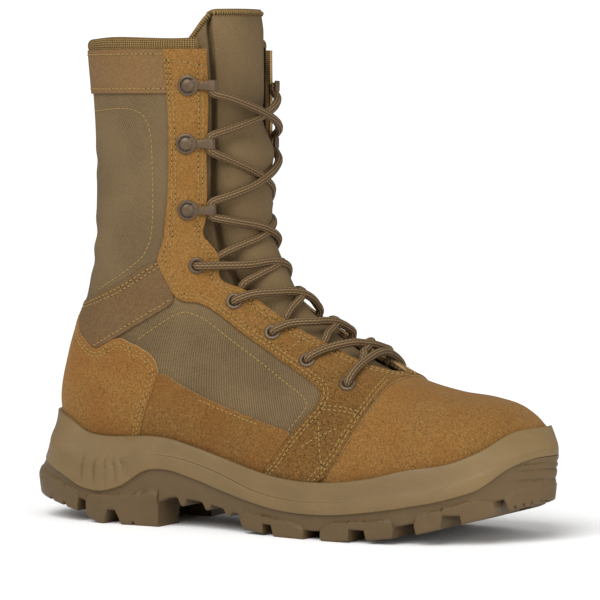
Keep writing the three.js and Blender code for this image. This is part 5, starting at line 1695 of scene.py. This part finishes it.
def from_below(seat):
    """Points of a lace from an eyelet's bore down under the facing to its edge."""
    station, sweep, _ = nearest_edge(seat)
    return [
        seat.at(0, 0, -1.0), seat.at(0.3, 0.2, -3.6),
        on_face((station + seat.station) / 2, seat.side * (sweep + seat.sweep) / 2, UNDER_FACING),
    ]


def over_facing(seat, station, sweep):
    """Points of a lace from a place on the tongue straight over the facing and down into an eyelet's bore."""
    station = station * 0.4 + seat.station * 0.6
    middle = on_face(station, seat.side * (sweep * 0.4 + seat.sweep * 0.6), OVER_FACING + 0.1)
    way = middle - seat.origin
    u, v = np.array([way @ seat.u, way @ seat.v]) / math.hypot(way @ seat.u, way @ seat.v)
    last = seat.at(1.9 * u, 1.9 * v, OVER_FACING - 0.3)
    return [middle, last, seat.at(0.5 * u, 0.5 * v, 2.4), seat.at(0, 0, -0.6)]


# How far each crossing lies off the tongue, and how far the upper strand of each lies over the lower
LIFTS = [2.8, 0.6, -0.5, -0.5]
OVER_LOWER = 1.5


def make_laces():
    lateral = EYELET_SEATS["lateral"]
    medial = EYELET_SEATS["medial"]
    station = lateral[0].station
    middle = on_face(station, 0.0, OVER_FACING)
    bar = over_facing(lateral[0], station, 0.2)[::-1] + [middle] + over_facing(medial[0], station, 0.2)
    make_tube("lace_bar", bar, LACE_RADIUS, CORD, ["lace_1"])
    for i in range(4):
        for name, start, end in (("under", lateral[i], medial[i + 1]), ("over", medial[i], lateral[i + 1])):
            lift = LIFTS[i] + OVER_LOWER * (name == "over")
            points, station, sweep = across_tongue(nearest_edge(start), nearest_edge(end), end.side,
                                                   OVER_TONGUE[:-1], lift)
            path = from_below(start) + points + over_facing(end, station, sweep)
            nodes = ["lace_%d" % (i + 2)] if name == "under" else []
            make_tube("lace_%s_%d" % (name, i + 1), path, LACE_RADIUS, CORD, nodes)
    strands = (("under", lateral[4], "medial", "lateral"), ("over", medial[4], "lateral", "medial"))
    for name, eyelet, first, second in strands:
        lift = OVER_LOWER * (name == "over")
        hooks = [HOOK_SEATS[first][0], HOOK_SEATS[second][1], HOOK_SEATS[first][2]]
        rows = [(0.12 + 0.88 * climb, *rest) for climb, *rest in OVER_TONGUE[:-1]]
        path = from_below(eyelet)
        path += across_tongue(nearest_edge(eyelet), nearest_edge(hooks[0]), hooks[0].side, rows, lift)[0]
        for hook, following in zip(hooks, hooks[1:] + [None]):
            path += [hook.at(12.8, -3.7, 0.2), hook.at(12.0, -1.9, 0.0), hook.at(11.9, 0, 0.0)]
            if not following:
                path.append(hook.at(12.0, 1.6, 0.0))
                break
            path += [hook.at(12.0, 1.9, 0.0), hook.at(12.8, 3.7, 0.2)]
            start, end = nearest_edge(hook), nearest_edge(following)
            path += across_tongue(start, end, following.side, OVER_TONGUE[1:-1], lift)[0]
        nodes = ["lace_6"] if name == "under" else []
        make_tube("lace_hooks_" + name, path, LACE_RADIUS, CORD, nodes)


make_outsole()
make_midsole()
make_insole()
make_shell()
make_eyestays()
make_side_panels()
make_counter()
make_cuff()
make_decor_stitches()
make_collar_roll()
make_tongue()
make_eyelets()
make_hooks()
make_laces()


# Studio

# The camera, fitted to the photograph: angles in degrees, lengths in metres, and the lens in millimetres
AZIMUTH = 28.8
DISTANCE = 1.9
AIM_X = -0.006
HEIGHT = 0.226
PITCH = 3.15
TURN = -0.263
LENS = 212.8


def add_camera():
    azimuth = math.radians(AZIMUTH)
    aim = azimuth + math.radians(TURN)
    pitch = math.radians(PITCH)
    forward = Vector((-math.sin(aim) * math.cos(pitch), math.cos(aim) * math.cos(pitch), -math.sin(pitch)))
    right = Vector((math.cos(aim), math.sin(aim), 0))
    up = right.cross(forward)
    place = Vector((AIM_X + DISTANCE * math.sin(azimuth), -DISTANCE * math.cos(azimuth), HEIGHT))
    camera = bpy.data.objects.new("camera", bpy.data.cameras.new("camera"))
    camera.data.lens = LENS
    camera.data.clip_end = 20
    axes = Matrix((right, up, -forward)).transposed().to_4x4()
    camera.matrix_world = Matrix.Translation(place) @ axes
    bpy.context.scene.collection.objects.link(camera)
    bpy.context.scene.camera = camera


def add_lamp(name, kind, energy, way):
    """A lamp that shines along a way, and its object."""
    lamp = bpy.data.lights.new(name, kind)
    lamp.energy = energy
    light = bpy.data.objects.new(name, lamp)
    light.rotation_euler = way.to_track_quat("-Z", "Y").to_euler()
    bpy.context.scene.collection.objects.link(light)
    return lamp, light


def add_light(name, place, size, power):
    lamp, light = add_lamp(name, "AREA", power, Vector((0, 0, 0.1)) - Vector(place))
    lamp.size = size
    light.location = place


def add_floor():
    mesh = bpy.data.meshes.new("floor")
    mesh.from_pydata([(-6, -6, 0), (6, -6, 0), (6, 6, 0), (-6, 6, 0)], [], [(0, 1, 2, 3)])
    floor = bpy.data.objects.new("floor", mesh)
    material = bpy.data.materials.new("floor")
    material.use_nodes = True
    shader = material.node_tree.nodes["Principled BSDF"]
    shader.inputs["Base Color"].default_value = (0.98, 0.98, 0.98, 1)
    shader.inputs["Roughness"].default_value = 1
    mesh.materials.append(material)
    bpy.context.scene.collection.objects.link(floor)


def add_sky(name, comes_from, power, spread):
    lamp, _ = add_lamp(name, "SUN", power, -Vector(comes_from))
    lamp.angle = math.radians(spread)


def add_world():
    """Soft light from all round, and plain white where the camera sees past the floor."""
    world = bpy.data.worlds.new("studio")
    world.use_nodes = True
    tree = world.node_tree
    light = tree.nodes["Background"]
    light.inputs["Color"].default_value = (1, 1, 1, 1)
    light.inputs["Strength"].default_value = 0.5
    white = tree.nodes.new("ShaderNodeBackground")
    white.inputs["Color"].default_value = (1, 1, 1, 1)
    white.inputs["Strength"].default_value = 1.1
    mix = tree.nodes.new("ShaderNodeMixShader")
    path = tree.nodes.new("ShaderNodeLightPath")
    tree.links.new(path.outputs["Is Camera Ray"], mix.inputs[0])
    tree.links.new(light.outputs[0], mix.inputs[1])
    tree.links.new(white.outputs[0], mix.inputs[2])
    tree.links.new(mix.outputs[0], tree.nodes["World Output"].inputs["Surface"])
    bpy.context.scene.world = world


add_camera()
add_sky("sky", (0.02, -0.9, 0.85), 2.8, 45)
add_light("key", (1.5, -0.9, 0.5), 0.8, 9)
add_floor()
add_world()
bpy.context.scene.view_settings.view_transform = "Standard"
